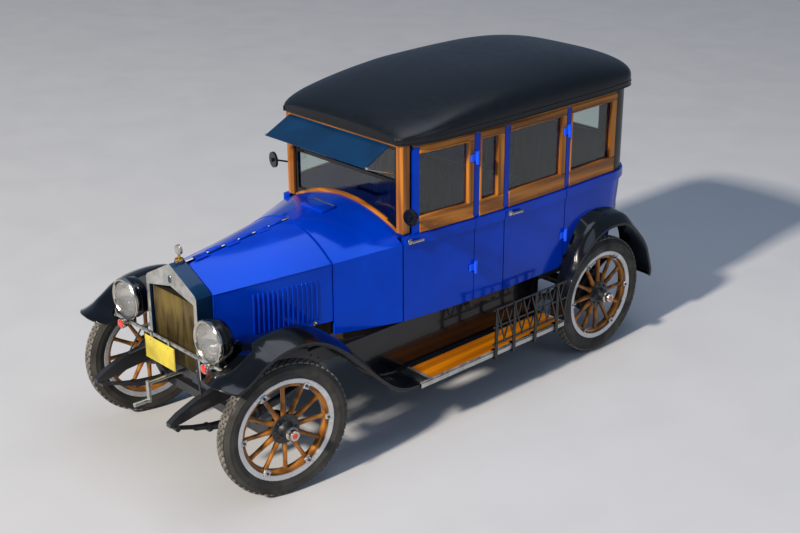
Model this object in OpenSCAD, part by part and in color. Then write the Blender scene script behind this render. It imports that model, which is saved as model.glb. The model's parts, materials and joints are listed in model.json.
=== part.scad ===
// Closed touring car of the 1920s: wood-spoke wheels, rear-hinged doors, centre-hinged bonnet.
// The front of the car faces -Y, its left side is +X, the ground is Z = 0.

/* [Wheels and axles] */
// Distance between the axle centres
wheelbase = 2800; // [2600:10:3000]
// Distance between the wheel planes of one axle
track = 1422; // [1380:1:1460]
// Outer radius of a tyre
tyre_r = 418; // [405:1:430]
// Radius of the tyre section
tyre_w = 56; // [46:1:60]
// Wooden spokes in each wheel
spokes = 12; // [10:1:14]
// Offset of the king pin inside the wheel plane
king_in = 81; // [70:1:95]
// Angle at which the front wheels are parked
steer_rest = -8.5; // [-20:0.5:20]

/* [Frame] */
// Underside of the side rails
rail_z = 540; // [500:5:580]
// Depth of the side rails
rail_h = 100; // [80:5:120]

/* [Body] */
// Lower edge of the body and doors
sill_z = 700; // [680:5:720]
// Top of the belt moulding
belt_z = 1255; // [1230:5:1280]
// Top of the window frames
header_z = 1812; // [1790:2:1830]
// Thickness of the body walls and doors
wall = 35; // [25:1:45]
// Projection of the belt moulding
belt_out = 12; // [6:1:16]
// Height of the roof at its centre
crown_z = 2095; // [2060:5:2130]
// Louvres in each bonnet side
louvres = 14; // [8:1:18]

/* [Hidden] */
$fn = 48;
yf = -wheelbase / 2;
yr = wheelbase / 2;
xw = track / 2;
xk = xw - king_in;
rim_r = tyre_r - 100;
// rear edges of the front and rear doors, and their front edges
fd_a = -331;
fd_b = 222;
rd_a = 487;
rd_b = 1072;
hinge_out = 17;
pin_r = 6;
barrel_r = 11;
// bonnet line
bon_a = -1534;
// rear face of the body at the belt
rear_y = 1832;
bon_b = -776;
bon_za = 1268;
bon_zb = 1340;
bon_tilt = atan((bon_zb - bon_za) / (bon_b - bon_a));
// centre of the steering wheel and the slope of its column
col_x = 300;
col_y = -95;
col_z = 1215;
col_a = 52;

blue = [0.02, 0.09, 0.55];
black = [0.05, 0.05, 0.06];
wood = [0.55, 0.30, 0.10];
nickel = [0.75, 0.72, 0.66];
rubber = [0.07, 0.07, 0.07];

// ---------- shared shapes ----------

// half width of the body in plan at the belt
function bw(y) = lookup(y, [[-776, 420], [-560, 497], [-340, 573], [-100, 608], [200, 636], [480, 655],
  [800, 661], [1200, 661], [1400, 656], [1475, 655]]);
function mirror_pts(p) = [for (i = [len(p) - 1 : -1 : 0]) [-p[i][0], p[i][1]]];
function flat(l) = [for (a = l) for (b = a) b];
// body outline from the rear door back and round the rear, moved out by d; yb is the rear face
function rear_half(d, yb) = concat([for (y = [1080, 1200, 1400]) [bw(y) + d, y]],
  [for (a = [0 : 18 : 90]) [410 + (245 + d) * cos(a), yb - 245 + (245 + d) * sin(a)]]);
function rear_line(d, yb) = concat(rear_half(d, yb), mirror_pts(rear_half(d, yb)));
// arched section above a crease at (hw, zs): k = 0 a straight gable, k = 1 a rounded arch
function arch(hw, z0, zs, zt, k, n) = concat([[hw, z0]],
  [for (i = [0 : n]) let (s = i / n) [hw * (1 - s),
    mix(zs + (zt - zs) * s, zt - (zt - zs) * pow(1 - s, 2), k)]]);
function half_to_full(p) = concat(p, [for (i = [len(p) - 2 : -1 : 0]) [-p[i][0], p[i][1]]]);
function mix(a, b, t) = a + (b - a) * t;

// closed sheet between two matching grids of points
module sheet(o, n) {
  m = len(o);
  w = len(o[0]);
  e = m * w;
  polyhedron(points = concat(flat(o), flat(n)), faces = concat(
    [for (r = [0 : m - 2], k = [0 : w - 2]) [r * w + k, r * w + k + 1, (r + 1) * w + k + 1]],
    [for (r = [0 : m - 2], k = [0 : w - 2]) [r * w + k, (r + 1) * w + k + 1, (r + 1) * w + k]],
    [for (r = [0 : m - 2], k = [0 : w - 2]) [e + r * w + k + 1, e + r * w + k, e + (r + 1) * w + k + 1]],
    [for (r = [0 : m - 2], k = [0 : w - 2]) [e + (r + 1) * w + k + 1, e + r * w + k, e + (r + 1) * w + k]],
    [for (k = [0 : w - 2]) [k + 1, k, e + k]],
    [for (k = [0 : w - 2]) [k + 1, e + k, e + k + 1]],
    [for (k = [0 : w - 2]) let (b = (m - 1) * w) [b + k, b + k + 1, e + b + k]],
    [for (k = [0 : w - 2]) let (b = (m - 1) * w) [b + k + 1, e + b + k + 1, e + b + k]],
    [for (r = [0 : m - 2]) [r * w, (r + 1) * w, e + r * w]],
    [for (r = [0 : m - 2]) [(r + 1) * w, e + (r + 1) * w, e + r * w]],
    [for (r = [0 : m - 2]) let (b = w - 1) [(r + 1) * w + b, r * w + b, e + r * w + b]],
    [for (r = [0 : m - 2]) let (b = w - 1) [(r + 1) * w + b, e + r * w + b, e + (r + 1) * w + b]]));
}

module both() {
  children();
  mirror([1, 0, 0]) children();
}

module box(a, b) {
  translate(a) cube([b[0] - a[0], b[1] - a[1], b[2] - a[2]]);
}

module rod_x(r, x0, x1, y, z) {
  translate([x0, y, z]) rotate([0, 90, 0]) cylinder(r = r, h = x1 - x0);
}

module rod_y(r, x, y0, y1, z) {
  translate([x, y0, z]) rotate([-90, 0, 0]) cylinder(r = r, h = y1 - y0);
}

// profile in the Y-Z plane, extruded across the car from x0 to x1
module side_plate(p, x0, x1) {
  translate([x0, 0, 0]) rotate([90, 0, 90]) linear_extrude(x1 - x0) polygon(p);
}

// strip of the body side between y0 and y1, from d0 to d1 outside the body line
module side_strip(y0, y1, d0, d1, z0, z1, bevel = 0) {
  ys = concat([y0], [for (y = [-100, 200, 480, 800]) if (y > y0 + 20 && y < y1 - 20) y], [y1]);
  outer = [for (y = ys) [bw(y) + d1, y]];
  inner = [for (i = [len(ys) - 1 : -1 : 0]) [bw(ys[i]) + d0, ys[i] + (i == 0 ? bevel : 0)]];
  translate([0, 0, z0]) linear_extrude(z1 - z0) polygon(concat(outer, inner));
}

// ---------- running gear ----------

module rail_plan() {
  polygon([[360, -1980], [400, -1980], [400, -820], [462, -560], [462, 1830], [422, 1830], [422, -552],
    [360, -812]]);
}

module chassis_frame() color(black) {
  intersection() {
    both() translate([0, 0, 400]) linear_extrude(300) rail_plan();
    side_plate([[-1971, 498], [-1971, 524], [-1905, 562], [-1780, 608], [-1600, rail_z + rail_h],
      [1830, rail_z + rail_h], [1830, rail_z], [-1560, rail_z], [-1760, 522], [-1900, 500]],
      -480, 480);
  }
  for (y = [-1600, 1786]) box([-361, y, 562], [361, y + 44, 622]);
  both() box([360, 1786, 576], [423, 1830, 622]);
  box([-423, -380, 566], [423, -330, 626]);
  box([-423, 820, 566], [423, 870, 626]);
  // spring hangers
  both() for (y = [872, 1832]) box([427, y - 16, 518], [457, y + 16, 542]);
  both() box([365, -941, 505], [395, -909, 541]);
  // carrier of the spare tyre
  both() box([150, 1829, 585], [186, 1870, 615]);
  both() box([150, 1858, 585], [186, 1872, 1000]);
  difference() {
    translate([0, 1876, 850]) rotate([-90, 0, 0]) cylinder(r = 288, h = 22);
    translate([0, 1875, 850]) rotate([-90, 0, 0]) cylinder(r = 262, h = 24);
  }
  for (a = [30, 90, 150]) translate([0, 1871, 850]) rotate([0, a, 0]) box([-14, 0, -280], [14, 12, 280]);
}

module leaves(x, yc, half, zc, rise) {
  for (k = [0 : 3]) {
    h = half * (1 - 0.22 * k);
    n = 8;
    t = 9;
    top = [for (i = [0 : n]) let (u = -h + 2 * h * i / n) [yc + u, zc + rise * pow(u / half, 2) - t * k]];
    low = [for (i = [n : -1 : 0]) let (u = -h + 2 * h * i / n)
      [yc + u, zc + rise * pow(u / half, 2) - t * (k + 1) - 0.01]];
    side_plate(concat(top, low), x - 25, x + 25);
  }
  for (s = [-1, 1]) rod_x(18, x - 25, x + 25, yc + s * half, zc + rise - 4);
}

module leaf_springs() color(black) both() {
  leaves(380, -1425, 497, 384, 98);
  leaves(442, 1352, 480, 372, 122);
}

module front_axle() color(black) {
  both() difference() {
    union() {
      translate([xk, yf, tyre_r - 44]) cylinder(r = 25, h = 88);
      translate([0, yf + 22, 0]) rotate([90, 0, 0]) linear_extrude(44) polygon([[xk - 10, tyre_r + 36],
        [xk - 30, tyre_r + 36], [480, 347], [-1, 347], [-1, 287], [500, 287], [xk - 30, tyre_r - 36],
        [xk - 10, tyre_r - 36]]);
    }
    translate([xk, yf, tyre_r - 50]) cylinder(r = 12.05, h = 100);
  }
}

// tube, differential housing, brake plates and spindles turned about the axle line
function axle_half() = [[22, xw + 60], [22, 611], [146, 611], [146, 604], [40, 604], [40, 170], [66, 140],
  [148, 52]];

module rear_axle() color(black) translate([0, yr, tyre_r]) {
  rotate([0, 90, 0]) rotate_extrude() polygon(concat([[0, xw + 60]], axle_half(),
    [for (i = [7 : -1 : 0]) [axle_half()[i][0], -axle_half()[i][1]]], [[0, -xw - 60]]));
  rod_y(62, 0, -190, -120, 0);
}

module engine_block() color([0.30, 0.31, 0.33]) {
  box([-140, -1490, 470], [140, -865, 1080]);
  both() for (y = [-1420, -1010]) box([139, y, 566], [359.5, y + 50, 600]);
}

module driveline() color(black) {
  box([-105, -864, 420], [105, -560, 610]);
  rod_y(70, 0, -561, -460, 520);
  translate([0, -462, 520]) rotate([-90 - atan((520 - tyre_r) / 1660), 0, 0]) cylinder(r = 32, h = 1655);
}

module exhaust() color([0.35, 0.33, 0.31]) {
  rod_y(23, -240, -925, 1200, 506);
  rod_y(52, -240, 250, 780, 506);
  translate([-240, -900, 500]) cylinder(r = 22, h = 262);
  rod_x(21, -250, -141, -900, 735);
}

module fuel_tank() color(black) {
  rod_x(112, -310, 310, 1645, 520);
  rod_x(28, -20, 20, 1645, 608);
  both() box([309, 1625, 570], [421, 1665, 605]);
}

module starting_crank() color(black) {
  rod_y(11, 0, -1840, -1601, 590);
  box([-14, -1852, 470], [14, -1838, 604]);
  rod_y(13, 0, -1950, -1850, 484);
}

// ---------- wheels, in a frame whose +X is the outward spin axis ----------

module wheel_part(drum) {
  difference() {
    union() {
      rod_x(50, -30, 44, 0, 0);
      rod_x(92, 20, 27, 0, 0);
      rod_x(88, -22, -16, 0, 0);
      rod_x(38, 43, 96, 0, 0);
      rod_x(31, 95, 131, 0, 0);
      for (i = [0 : spokes - 1]) rotate([i * 360 / spokes, 0, 0])
        translate([2, 0, 46]) cylinder(r1 = 18, r2 = 14, h = rim_r - 82);
      // wooden felloe and steel rim
      rotate([0, 90, 0]) rotate_extrude() polygon([[rim_r - 56, -17], [rim_r - 30, -20], [rim_r - 30, -36],
        [rim_r, -42], [rim_r, -37], [rim_r - 20, -31], [rim_r - 20, 31], [rim_r, 37], [rim_r, 42],
        [rim_r - 30, 36], [rim_r - 30, 24], [rim_r - 56, 21]]);
      for (i = [0 : 5]) rotate([i * 60 + 30, 0, 0]) box([22, -16, rim_r - 54], [40, 16, rim_r - 26]);
      if (drum) rod_x(150, -82, -34, 0, 0);
      if (drum) rod_x(70, -36, -20, 0, 0);
    }
    rod_x(drum ? 22.05 : 20.05, -90, 90, 0, 0);
    if (drum) rod_x(138, -90, -44, 0, 0);
  }
}

module tyre_part() {
  rotate([0, 90, 0]) rotate_extrude($fn = 96) intersection() {
    union() {
      translate([tyre_r - 54, 0]) circle(r = tyre_w);
      translate([rim_r - 19.5, -30.5]) square([40, 61]);
    }
    translate([rim_r - 19.5, -53]) square([119.5, 106]);
  }
}

module at_front(s) {
  translate([s * xk, yf, tyre_r]) rotate([0, 0, steer_rest]) mirror([s < 0 ? 1 : 0, 0, 0])
    translate([king_in, 0, 0]) children();
}

module at_rear(s) {
  translate([s * xw, yr, tyre_r]) mirror([s < 0 ? 1 : 0, 0, 0]) children();
}

module wheel_front_left() color(wood) at_front(1) wheel_part(false);
module wheel_front_right() color(wood) at_front(-1) wheel_part(false);
module wheel_rear_left() color(wood) at_rear(1) wheel_part(true);
module wheel_rear_right() color(wood) at_rear(-1) wheel_part(true);
module tyre_front_left() color(rubber) at_front(1) tyre_part();
module tyre_front_right() color(rubber) at_front(-1) tyre_part();
module tyre_rear_left() color(rubber) at_rear(1) tyre_part();
module tyre_rear_right() color(rubber) at_rear(-1) tyre_part();

module spare_tyre() color(rubber) translate([0, 1918, 850]) rotate([0, 0, 90]) {
  tyre_part();
  rotate([0, 90, 0]) rotate_extrude() polygon([[rim_r - 28, -36], [rim_r, -42], [rim_r, -37],
    [rim_r - 20, -31], [rim_r - 20, 31], [rim_r, 37], [rim_r, 42], [rim_r - 28, 36]]);
}

// king pin, yoke, spindle and steering arm, with +X outward
module knuckle_part() {
  translate([0, 0, -66]) cylinder(r = 12, h = 132);
  for (z = [-66, 46]) {
    translate([0, 0, z]) cylinder(r = 26, h = 20);
    box([0, -24, z], [44, 24, z + 20]);
  }
  box([31, -24, -66], [44, 24, 66]);
  rod_x(34, 43, 49, 0, 0);
  rod_x(20, 44, king_in + 72, 0, 0);
  difference() {
    union() {
      rotate([0, 0, 10]) box([-14, 0, -66], [14, 150, -50]);
      rotate([0, 0, 10]) translate([0, 150, -66]) cylinder(r = 17, h = 16);
    }
    rotate([0, 0, 10]) translate([0, 150, -70]) cylinder(r = 7, h = 24);
  }
}

module knuckle_left() color(black) translate([xk, yf, tyre_r]) rotate([0, 0, steer_rest]) knuckle_part();
module knuckle_right() color(black) translate([-xk, yf, tyre_r]) rotate([0, 0, steer_rest])
  mirror([1, 0, 0]) knuckle_part();

// tie rod below the arms, moved with them
module tie_rod() color(black) {
  l = [xk, yf] + 150 * [-sin(10 + steer_rest), cos(10 + steer_rest)];
  r = [-xk, yf] + 150 * [sin(10 - steer_rest), cos(10 - steer_rest)];
  ang = atan2(l[1] - r[1], l[0] - r[0]);
  translate([r[0], r[1], tyre_r - 84]) rotate([0, 0, ang]) {
    rod_x(11, 0, norm(l - r), 0, 0);
    for (x = [0, norm(l - r)]) translate([x, 0, -12]) cylinder(r = 17, h = 24);
  }
}

// ---------- nose ----------

module shell_outline(d) {
  polygon(half_to_full([[252 - d, 628 + d * 0.2], [252 - d, 1138], [238 - d, 1160 - d * 0.5],
    [0, 1288 - d]]));
}

module radiator_shell() color(nickel) {
  difference() {
    translate([0, -1540, 0]) rotate([90, 0, 0]) linear_extrude(106) shell_outline(0);
    translate([0, -1620, 0]) rotate([90, 0, 0]) linear_extrude(40) polygon([[-222, 600], [222, 600],
      [222, 1098], [0, 1150], [-222, 1098]]);
    translate([0, -1530, 0]) rotate([90, 0, 0]) linear_extrude(98) shell_outline(22);
    box([-230, -1660, 600], [230, -1530, 640]);
  }
  difference() {
    translate([0, -1572, 1262]) cylinder(r = 30, h = 24);
    translate([0, -1572, 1200]) cylinder(r = 20, h = 78);
  }
  translate([0, -1572, 1285]) cylinder(r = 26, h = 16);
  translate([0, -1572, 1300]) cylinder(r = 8, h = 30);
  rod_y(30, 0, -1580, -1564, 1356);
}

module radiator_core() color([0.30, 0.20, 0.10]) {
  translate([0, -1575, 0]) rotate([90, 0, 0]) linear_extrude(51) polygon([[-218, 642], [218, 642],
    [218, 1095], [0, 1146], [-218, 1095]]);
  box([-224, -1612, 623], [224, -1580, 643]);
}

// hinge rod of the bonnet, tilted with its centre line
module along_bonnet(y0, y1, r) {
  translate([0, bon_a, bon_za]) rotate([bon_tilt - 90, 0, 0])
    translate([0, 0, y0]) cylinder(r = r, h = y1 - y0);
}

function bon_ring(y, d) = let (t = (y - bon_a) / (bon_b - bon_a))
  [for (p = arch(mix(256, 419, t) - d, 792, mix(1138, 1165, t) - 0.6 * d, mix(bon_za, bon_zb, t) + 2 - d,
    mix(0.1, 1, t), 7)) [p[0] < 20 ? 20 : p[0], y, p[1] - (p[0] < 20 ? mix(9, 0, t) : 0)]];

module bonnet_part(s) {
  ys = [bon_a, -1400, -1250, -1100, -940, bon_b];
  difference() {
    sheet([for (y = ys) bon_ring(y, 0)], [for (y = ys) bon_ring(y, 12)]);
    along_bonnet(-5, 800, 18);
  }
  // louvres on the side
  for (i = [0 : louvres - 1]) {
    y = mix(-1285, -880, i / (louvres - 1));
    t = (y - bon_a) / (bon_b - bon_a);
    x = mix(256, 419, t);
    translate([x, y, 822]) rotate([0, 0, -11.5]) linear_extrude(262)
      polygon([[-3, -6], [6, 8], [-3, 10]]);
  }
  // barrels and leaves of the centre hinge; the two halves alternate
  for (k = [0 : 2]) {
    a = 60 + 230 * k + (s > 0 ? 0 : 110);
    difference() {
      union() {
        along_bonnet(a, a + 90, 12);
        translate([0, bon_a, bon_za]) rotate([bon_tilt - 90, 0, 0]) box([0, -3, a], [30, 15, a + 90]);
      }
      along_bonnet(a - 5, a + 95, pin_r + 0.05);
    }
  }
}

module bonnet_left() color(blue) bonnet_part(1);
module bonnet_right() color(blue) mirror([1, 0, 0]) bonnet_part(-1);

function cowl_ring(y, d) = let (t = (y + 769) / 429)
  [for (p = arch(bw(y) - d, sill_z, mix(1165, 1215, t) - 0.6 * d, mix(bon_zb + 2, 1375, t) - d, 1, 8))
    [p[0], y, p[1]]];
function full_ring(p, y) = half_to_full([for (q = p) [q[0], q[2]]]);

// height of the scuttle in front of the windscreen
function scuttle_z(x) = 1375 - 0.000487 * x * x;
function scuttle(y, d) = [for (x = [520 : -104 : -520]) [x, y, scuttle_z(x) - d]];

module cowl() color(blue) {
  ys = [-769, -660, -550, -440, -340];
  sheet([for (y = ys) [for (q = full_ring(cowl_ring(y, 0), y)) [q[0], y, q[1]]]],
    [for (y = ys) [for (q = full_ring(cowl_ring(y, 25), y)) [q[0], y, q[1]]]]);
  // scuttle top behind the doors' front edge
  sheet([for (y = [-341, -255]) scuttle(y, 0)], [for (y = [-341, -255]) scuttle(y, 25)]);
  // ventilator flap and the hinge rod of the bonnet
  translate([0, -525, 1359]) rotate([3, 0, 0]) box([-105, -55, -12], [105, 55, 12]);
  along_bonnet(-5, 782, pin_r);
  box([-20, -770, 1310], [20, -745, 1345]);
}

// ---------- body ----------

// pin and lugs of a door hinge on the body, for the left side; yh is the hinge line
module hinge_body(yh, z) {
  x = bw(yh) + hinge_out;
  translate([x, yh, z - 40]) cylinder(r = pin_r, h = 80);
  for (s = [-40, 21.5]) {
    translate([x, yh, z + s]) cylinder(r = barrel_r, h = 18.5);
    box([x - (z > belt_z ? 42 : 30), yh, z + s], [x, yh + 11, z + s + 18.5]);
    box([x - (z > belt_z ? 42 : 30), yh + 6, z + s], [x - 5, yh + 24, z + s + 18.5]);
  }
}

module hinge_door(yh, z) {
  x = bw(yh) + hinge_out;
  difference() {
    union() {
      translate([x, yh, z - 21]) cylinder(r = barrel_r, h = 42);
      box([x - (z > belt_z ? 31 : 18), yh - 11, z - 21], [x, yh, z + 21]);
      box([x - (z > belt_z ? 31 : 18), yh - 40, z - 21], [x - 8, yh - 3, z + 21]);
    }
    translate([x, yh, z - 30]) cylinder(r = pin_r + 0.05, h = 60);
  }
}

module door_part(y0, y1, wy0) {
  side_strip(y0, y1, -wall, 0, sill_z, belt_z, 12);
  side_strip(y0, y1, -1, belt_out, belt_z - 60, belt_z, 0);
  difference() {
    side_strip(wy0, y1, -12 - 32, -12, belt_z - 1, header_z, 6);
    box([400, wy0 + 42, 1362], [800, y1 - 44, 1772]);
  }
  // handle on the belt at the free edge
  rod_x(7, bw(y0 + 40) + 2, bw(y0 + 40) + 36, y0 + 40, belt_z - 30);
  rod_y(8, bw(y0 + 40) + 34, y0 + 32, y0 + 128, belt_z - 30);
  for (z = [930, 1660]) hinge_door(y1 + 3, z);
}

module glass_part(y0, y1, wy0) {
  side_strip(wy0 + 42.5, y1 - 44.5, -31, -26, 1362.5, 1771.5);
}

module door_front_left() color(blue) door_part(fd_a, fd_b, -246);
module door_front_right() color(blue) mirror([1, 0, 0]) door_part(fd_a, fd_b, -246);
// rear door, its lower corner cut back for the wing
module rear_door_part() {
  difference() {
    door_part(rd_a, rd_b, rd_a);
    side_plate([[1028, 690], [1080, 690], [1080, 726], [1028, 700]], 400, 800);
  }
}

module door_rear_left() color(blue) rear_door_part();
module door_rear_right() color(blue) mirror([1, 0, 0]) rear_door_part();
module glass_front_left() color([0.6, 0.7, 0.75, 0.4]) glass_part(fd_a, fd_b, -246);
module glass_front_right() color([0.6, 0.7, 0.75, 0.4]) mirror([1, 0, 0]) glass_part(fd_a, fd_b, -246);
module glass_rear_left() color([0.6, 0.7, 0.75, 0.4]) glass_part(rd_a, rd_b, rd_a);
module glass_rear_right() color([0.6, 0.7, 0.75, 0.4]) mirror([1, 0, 0]) glass_part(rd_a, rd_b, rd_a);

module body_posts() color(blue) both() {
  difference() {
    union() {
      side_strip(228, 480, -wall, 0, sill_z, belt_z);
      side_strip(228, 480, -1, belt_out, belt_z - 60, belt_z);
      side_strip(228, 480, -44, -12, belt_z - 1, header_z);
    }
    box([400, 285, 1362], [800, 425, 1772]);
  }
  for (z = [930, 1660]) hinge_body(fd_b + 3, z);
}

module rear_body() color(blue) {
  difference() {
    union() {
      zs = [sill_z, 960, belt_z];
      yb = [1740, 1790, rear_y];
      sheet([for (i = [2 : -1 : 0]) [for (p = rear_line(0, yb[i])) [p[0], p[1], zs[i]]]],
        [for (i = [2 : -1 : 0]) [for (p = rear_line(-wall, yb[i])) [p[0], p[1], zs[i]]]]);
      translate([0, 0, belt_z - 60]) linear_extrude(60) difference() {
        polygon(rear_line(belt_out, rear_y));
        polygon(rear_line(-12, rear_y));
        translate([-500, 1000]) square([1000, 600]);
      }
      translate([0, 0, belt_z - 1]) linear_extrude(header_z - belt_z + 1) both() polygon([[649, 1080],
        [649, 1200], [644, 1400], [643, 1600], [611, 1600], [612, 1400], [617, 1200], [617, 1080]]);
    }
    both() rod_x(478, 560, 720, yr, tyre_r);
    both() box([560, 1130, 1362], [800, 1550, 1772]);
  }
  both() for (z = [930, 1660]) hinge_body(rd_b + 3, z);
}

module floor_pan() color([0.16, 0.15, 0.14]) {
  translate([0, 0, 641]) linear_extrude(48) polygon(concat([[375, -760], [455, -560], [530, -340],
    [540, -300], [540, 1690]], [[-540, 1690], [-540, -300], [-530, -340], [-455, -560], [-375, -760]]));
  // dash board in front of the cabin
  translate([0, -742, 0]) rotate([90, 0, 0]) linear_extrude(18) polygon(half_to_full(
    concat([[372, 688]], [for (x = [385 : -55 : 0]) [x, 1300 - 0.00105 * x * x]])));
  // sills that carry the posts
  both() box([541, 230, 641], [600, 478, 689]);
  both() box([539, 240, 650], [543, 470, 680]);
}

function roof_hw(y) = lookup(y, [[-348, 528], [-310, 566], [-230, 606], [-100, 640], [150, 658], [500, 668],
  [1400, 668], [1600, 660], [1720, 640], [1790, 606], [1830, 566], [1850, 520]]);
function roof_top(y) = lookup(y, [[-348, 1904], [-310, 1932], [-230, 1966], [-100, 2004], [150, 2052],
  [500, crown_z - 10], [900, crown_z], [1250, crown_z - 4], [1500, crown_z - 24], [1720, crown_z - 58],
  [1790, crown_z - 76], [1830, crown_z - 104], [1850, crown_z - 150]]);
function roof_base(y) = lookup(y, [[-348, 1862], [-230, 1876], [100, 1890], [1700, 1890], [1850, 1870]]);
function roof_ring(y, d) = let (h = roof_hw(y), t = roof_top(y), b = roof_base(y),
  k = y < 500 ? mix(0.95, 0.714, (y + 348) / 848) : 0.714) half_to_full(concat([[h - d, b - 52]],
  [for (i = [0 : 8]) let (a = 90 * i / 8)
    [i == 8 ? 0 : (h - d) * pow(cos(a), k), b + (t - b - d) * pow(sin(a), k)]]));

module roof() color(black) {
  ys = [-348, -310, -230, -100, 150, 500, 900, 1250, 1500, 1720, 1790, 1830, 1850];
  difference() {
    union() {
      intersection() {
        sheet([for (y = ys) [for (q = roof_ring(y, 0)) [q[0], y, q[1]]]],
          [for (y = ys) [for (q = roof_ring(y, 24)) [q[0], y, q[1]]]]);
        box([-800, -400, 1835], [800, 1900, 2200]);
      }
      // front header under the roof
      translate([0, -330, 0]) rotate([90, 0, 0]) linear_extrude(18) intersection() {
        polygon(roof_ring(-348, 2));
        translate([-600, 1835]) square([1200, 200]);
      }
      // rear quarters and back
      translate([0, 0, belt_z + 2]) linear_extrude(1872 - belt_z) difference() {
        polygon(rear_line(-8, rear_y));
        polygon(rear_line(-28, rear_y));
        translate([-800, 1000]) square([1600, 603]);
      }
      // rear end of the top down to the back
      translate([0, 0, 1838]) linear_extrude(118) difference() {
        intersection() {
          polygon(rear_line(8, rear_y));
          translate([-800, 1600]) square([1600, 300]);
        }
        polygon(rear_line(-20, rear_y));
      }
    }
    box([-330, 1700, 1450], [330, 1900, 1700]);
  }
}

module sun_visor() color([0.03, 0.05, 0.20]) {
  side_plate([[-350, 1812], [-350, 1824], [-545, 1728], [-541, 1718]], -470, 470);
  both() side_plate([[-548, 1722], [-540, 1714], [-330, 1640], [-328, 1650]], 478, 484);
  both() box([466, -546, 1716], [484, -532, 1730]);
}

module windscreen_frame() color(black) {
  mirror_arm([559, -290, 1383], [680, -372, 1425]);
  mirror_arm([-559, -300, 1470], [-590, -400, 1500]);
  difference() {
    box([-488, -300, 1230], [488, -276, 1806]);
    box([-462, -310, 1320], [462, -270, 1566]);
    box([-462, -310, 1590], [462, -270, 1780]);
    // arched lower edge that follows the cowl
    translate([0, -260, 0]) rotate([90, 0, 0]) linear_extrude(60) polygon(concat([[-520, 1100],
      [520, 1100]], [for (x = [520 : -104 : -520]) [x, scuttle_z(x) + 1.5]]));
  }
}

// door mirror on its arm from the pillar at a to the head at b
module mirror_arm(a, b) {
  d = b - a;
  translate(a) rotate([0, acos(d[2] / norm(d)), atan2(d[1], d[0])]) cylinder(r = 6, h = norm(d));
  translate(b) rotate([-90, 0, 12 * sign(b[0])]) translate([0, 0, -22]) cylinder(r = 13, h = 16);
  translate(b) rotate([-90, 0, 12 * sign(b[0])]) translate([0, 0, -8]) cylinder(r = 52, h = 14);
}

module wood_pillars() color(wood) {
  both() side_plate([[-316, 1262], [-316, 1830], [-256, 1830], [-256, 1262]], 490, 552);
  box([-489, -316, 1807], [489, -256, 1830]);
  // wooden rail over the side windows
  both() side_strip(-254, 1600, -44, -14, 1813, 1834);
}

module fixed_glass() color([0.6, 0.7, 0.75, 0.4]) {
  translate([0, -285, 0]) rotate([90, 0, 0]) linear_extrude(5) difference() {
    polygon([[-461, 1321], [461, 1321], [461, 1565.5], [-461, 1565.5]]);
    polygon(concat([[-520, 1100], [520, 1100]], [for (x = [520 : -104 : -520]) [x, scuttle_z(x) + 2.5]]));
  }
  box([-461, -290, 1590.5], [461, -285, 1779.5]);
  both() side_strip(285.5, 424.5, -31, -26, 1362.5, 1771.5);
  both() translate([0, 0, 1362.5]) linear_extrude(409) polygon([[632, 1130.5], [632, 1200], [628, 1549.5],
    [623, 1549.5], [627, 1200], [627, 1130.5]]);
  box([-329.5, 1812, 1450.5], [329.5, 1817, 1699.5]);
}

// outline of a rectangle with rounded corners
function round_rect(a, b, r) = [for (c = [[b[0] - r, b[1] - r, 0], [a[0] + r, b[1] - r, 90],
  [a[0] + r, a[1] + r, 180], [b[0] - r, a[1] + r, 270]], t = [0 : 22.5 : 90])
  [c[0] + r * cos(c[2] + t), c[1] + r * sin(c[2] + t)]];

// cushion with rounded edges, between two corners
module cushion(a, b, r) {
  intersection() {
    translate([0, 0, a[2]]) linear_extrude(b[2] - a[2]) polygon(round_rect([a[0], a[1]], [b[0], b[1]], r));
    side_plate(round_rect([a[1], a[2]], [b[1], b[2]], r), a[0], b[0]);
    translate([0, b[1], 0]) rotate([90, 0, 0]) linear_extrude(b[1] - a[1])
      polygon(round_rect([a[0], a[2]], [b[0], b[2]], r));
  }
}

module front_seat() color([0.10, 0.10, 0.11]) {
  box([-540, -60, 690], [540, 420, 900]);
  cushion([-545, -80, 901], [545, 400, 1030], 40);
  translate([0, 405, 1000]) rotate([-12, 0, 0]) cushion([-545, -50, -60], [545, 55, 500], 40);
}

module rear_seat() color([0.10, 0.10, 0.11]) {
  box([-530, 1110, 690], [530, 1560, 930]);
  cushion([-545, 1090, 931], [545, 1560, 1060], 40);
  translate([0, 1540, 1000]) rotate([-8, 0, 0]) cushion([-540, -40, -60], [540, 60, 540], 40);
}

// ---------- steering ----------

module steering_column() color(black) {
  translate([col_x, col_y, col_z]) rotate([-col_a, 0, 0]) difference() {
    translate([0, 0, -560]) cylinder(r = 19, h = 540);
    translate([0, 0, -200]) cylinder(r = 10.05, h = 300);
  }
}

module steering_wheel() color([0.12, 0.08, 0.05])
  translate([col_x, col_y, col_z]) rotate([-col_a, 0, 0]) {
    rotate_extrude($fn = 72) translate([200, 0]) circle(r = 13, $fn = 24);
    translate([0, 0, -18]) cylinder(r = 36, h = 26);
    translate([0, 0, -190]) cylinder(r = 10, h = 180);
    for (i = [0 : 3]) rotate([0, 0, 45 + 90 * i]) translate([0, 0, -4]) rotate([0, 90, 0])
      cylinder(r = 8, h = 196);
  }

// ---------- wings and boards ----------

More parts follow.
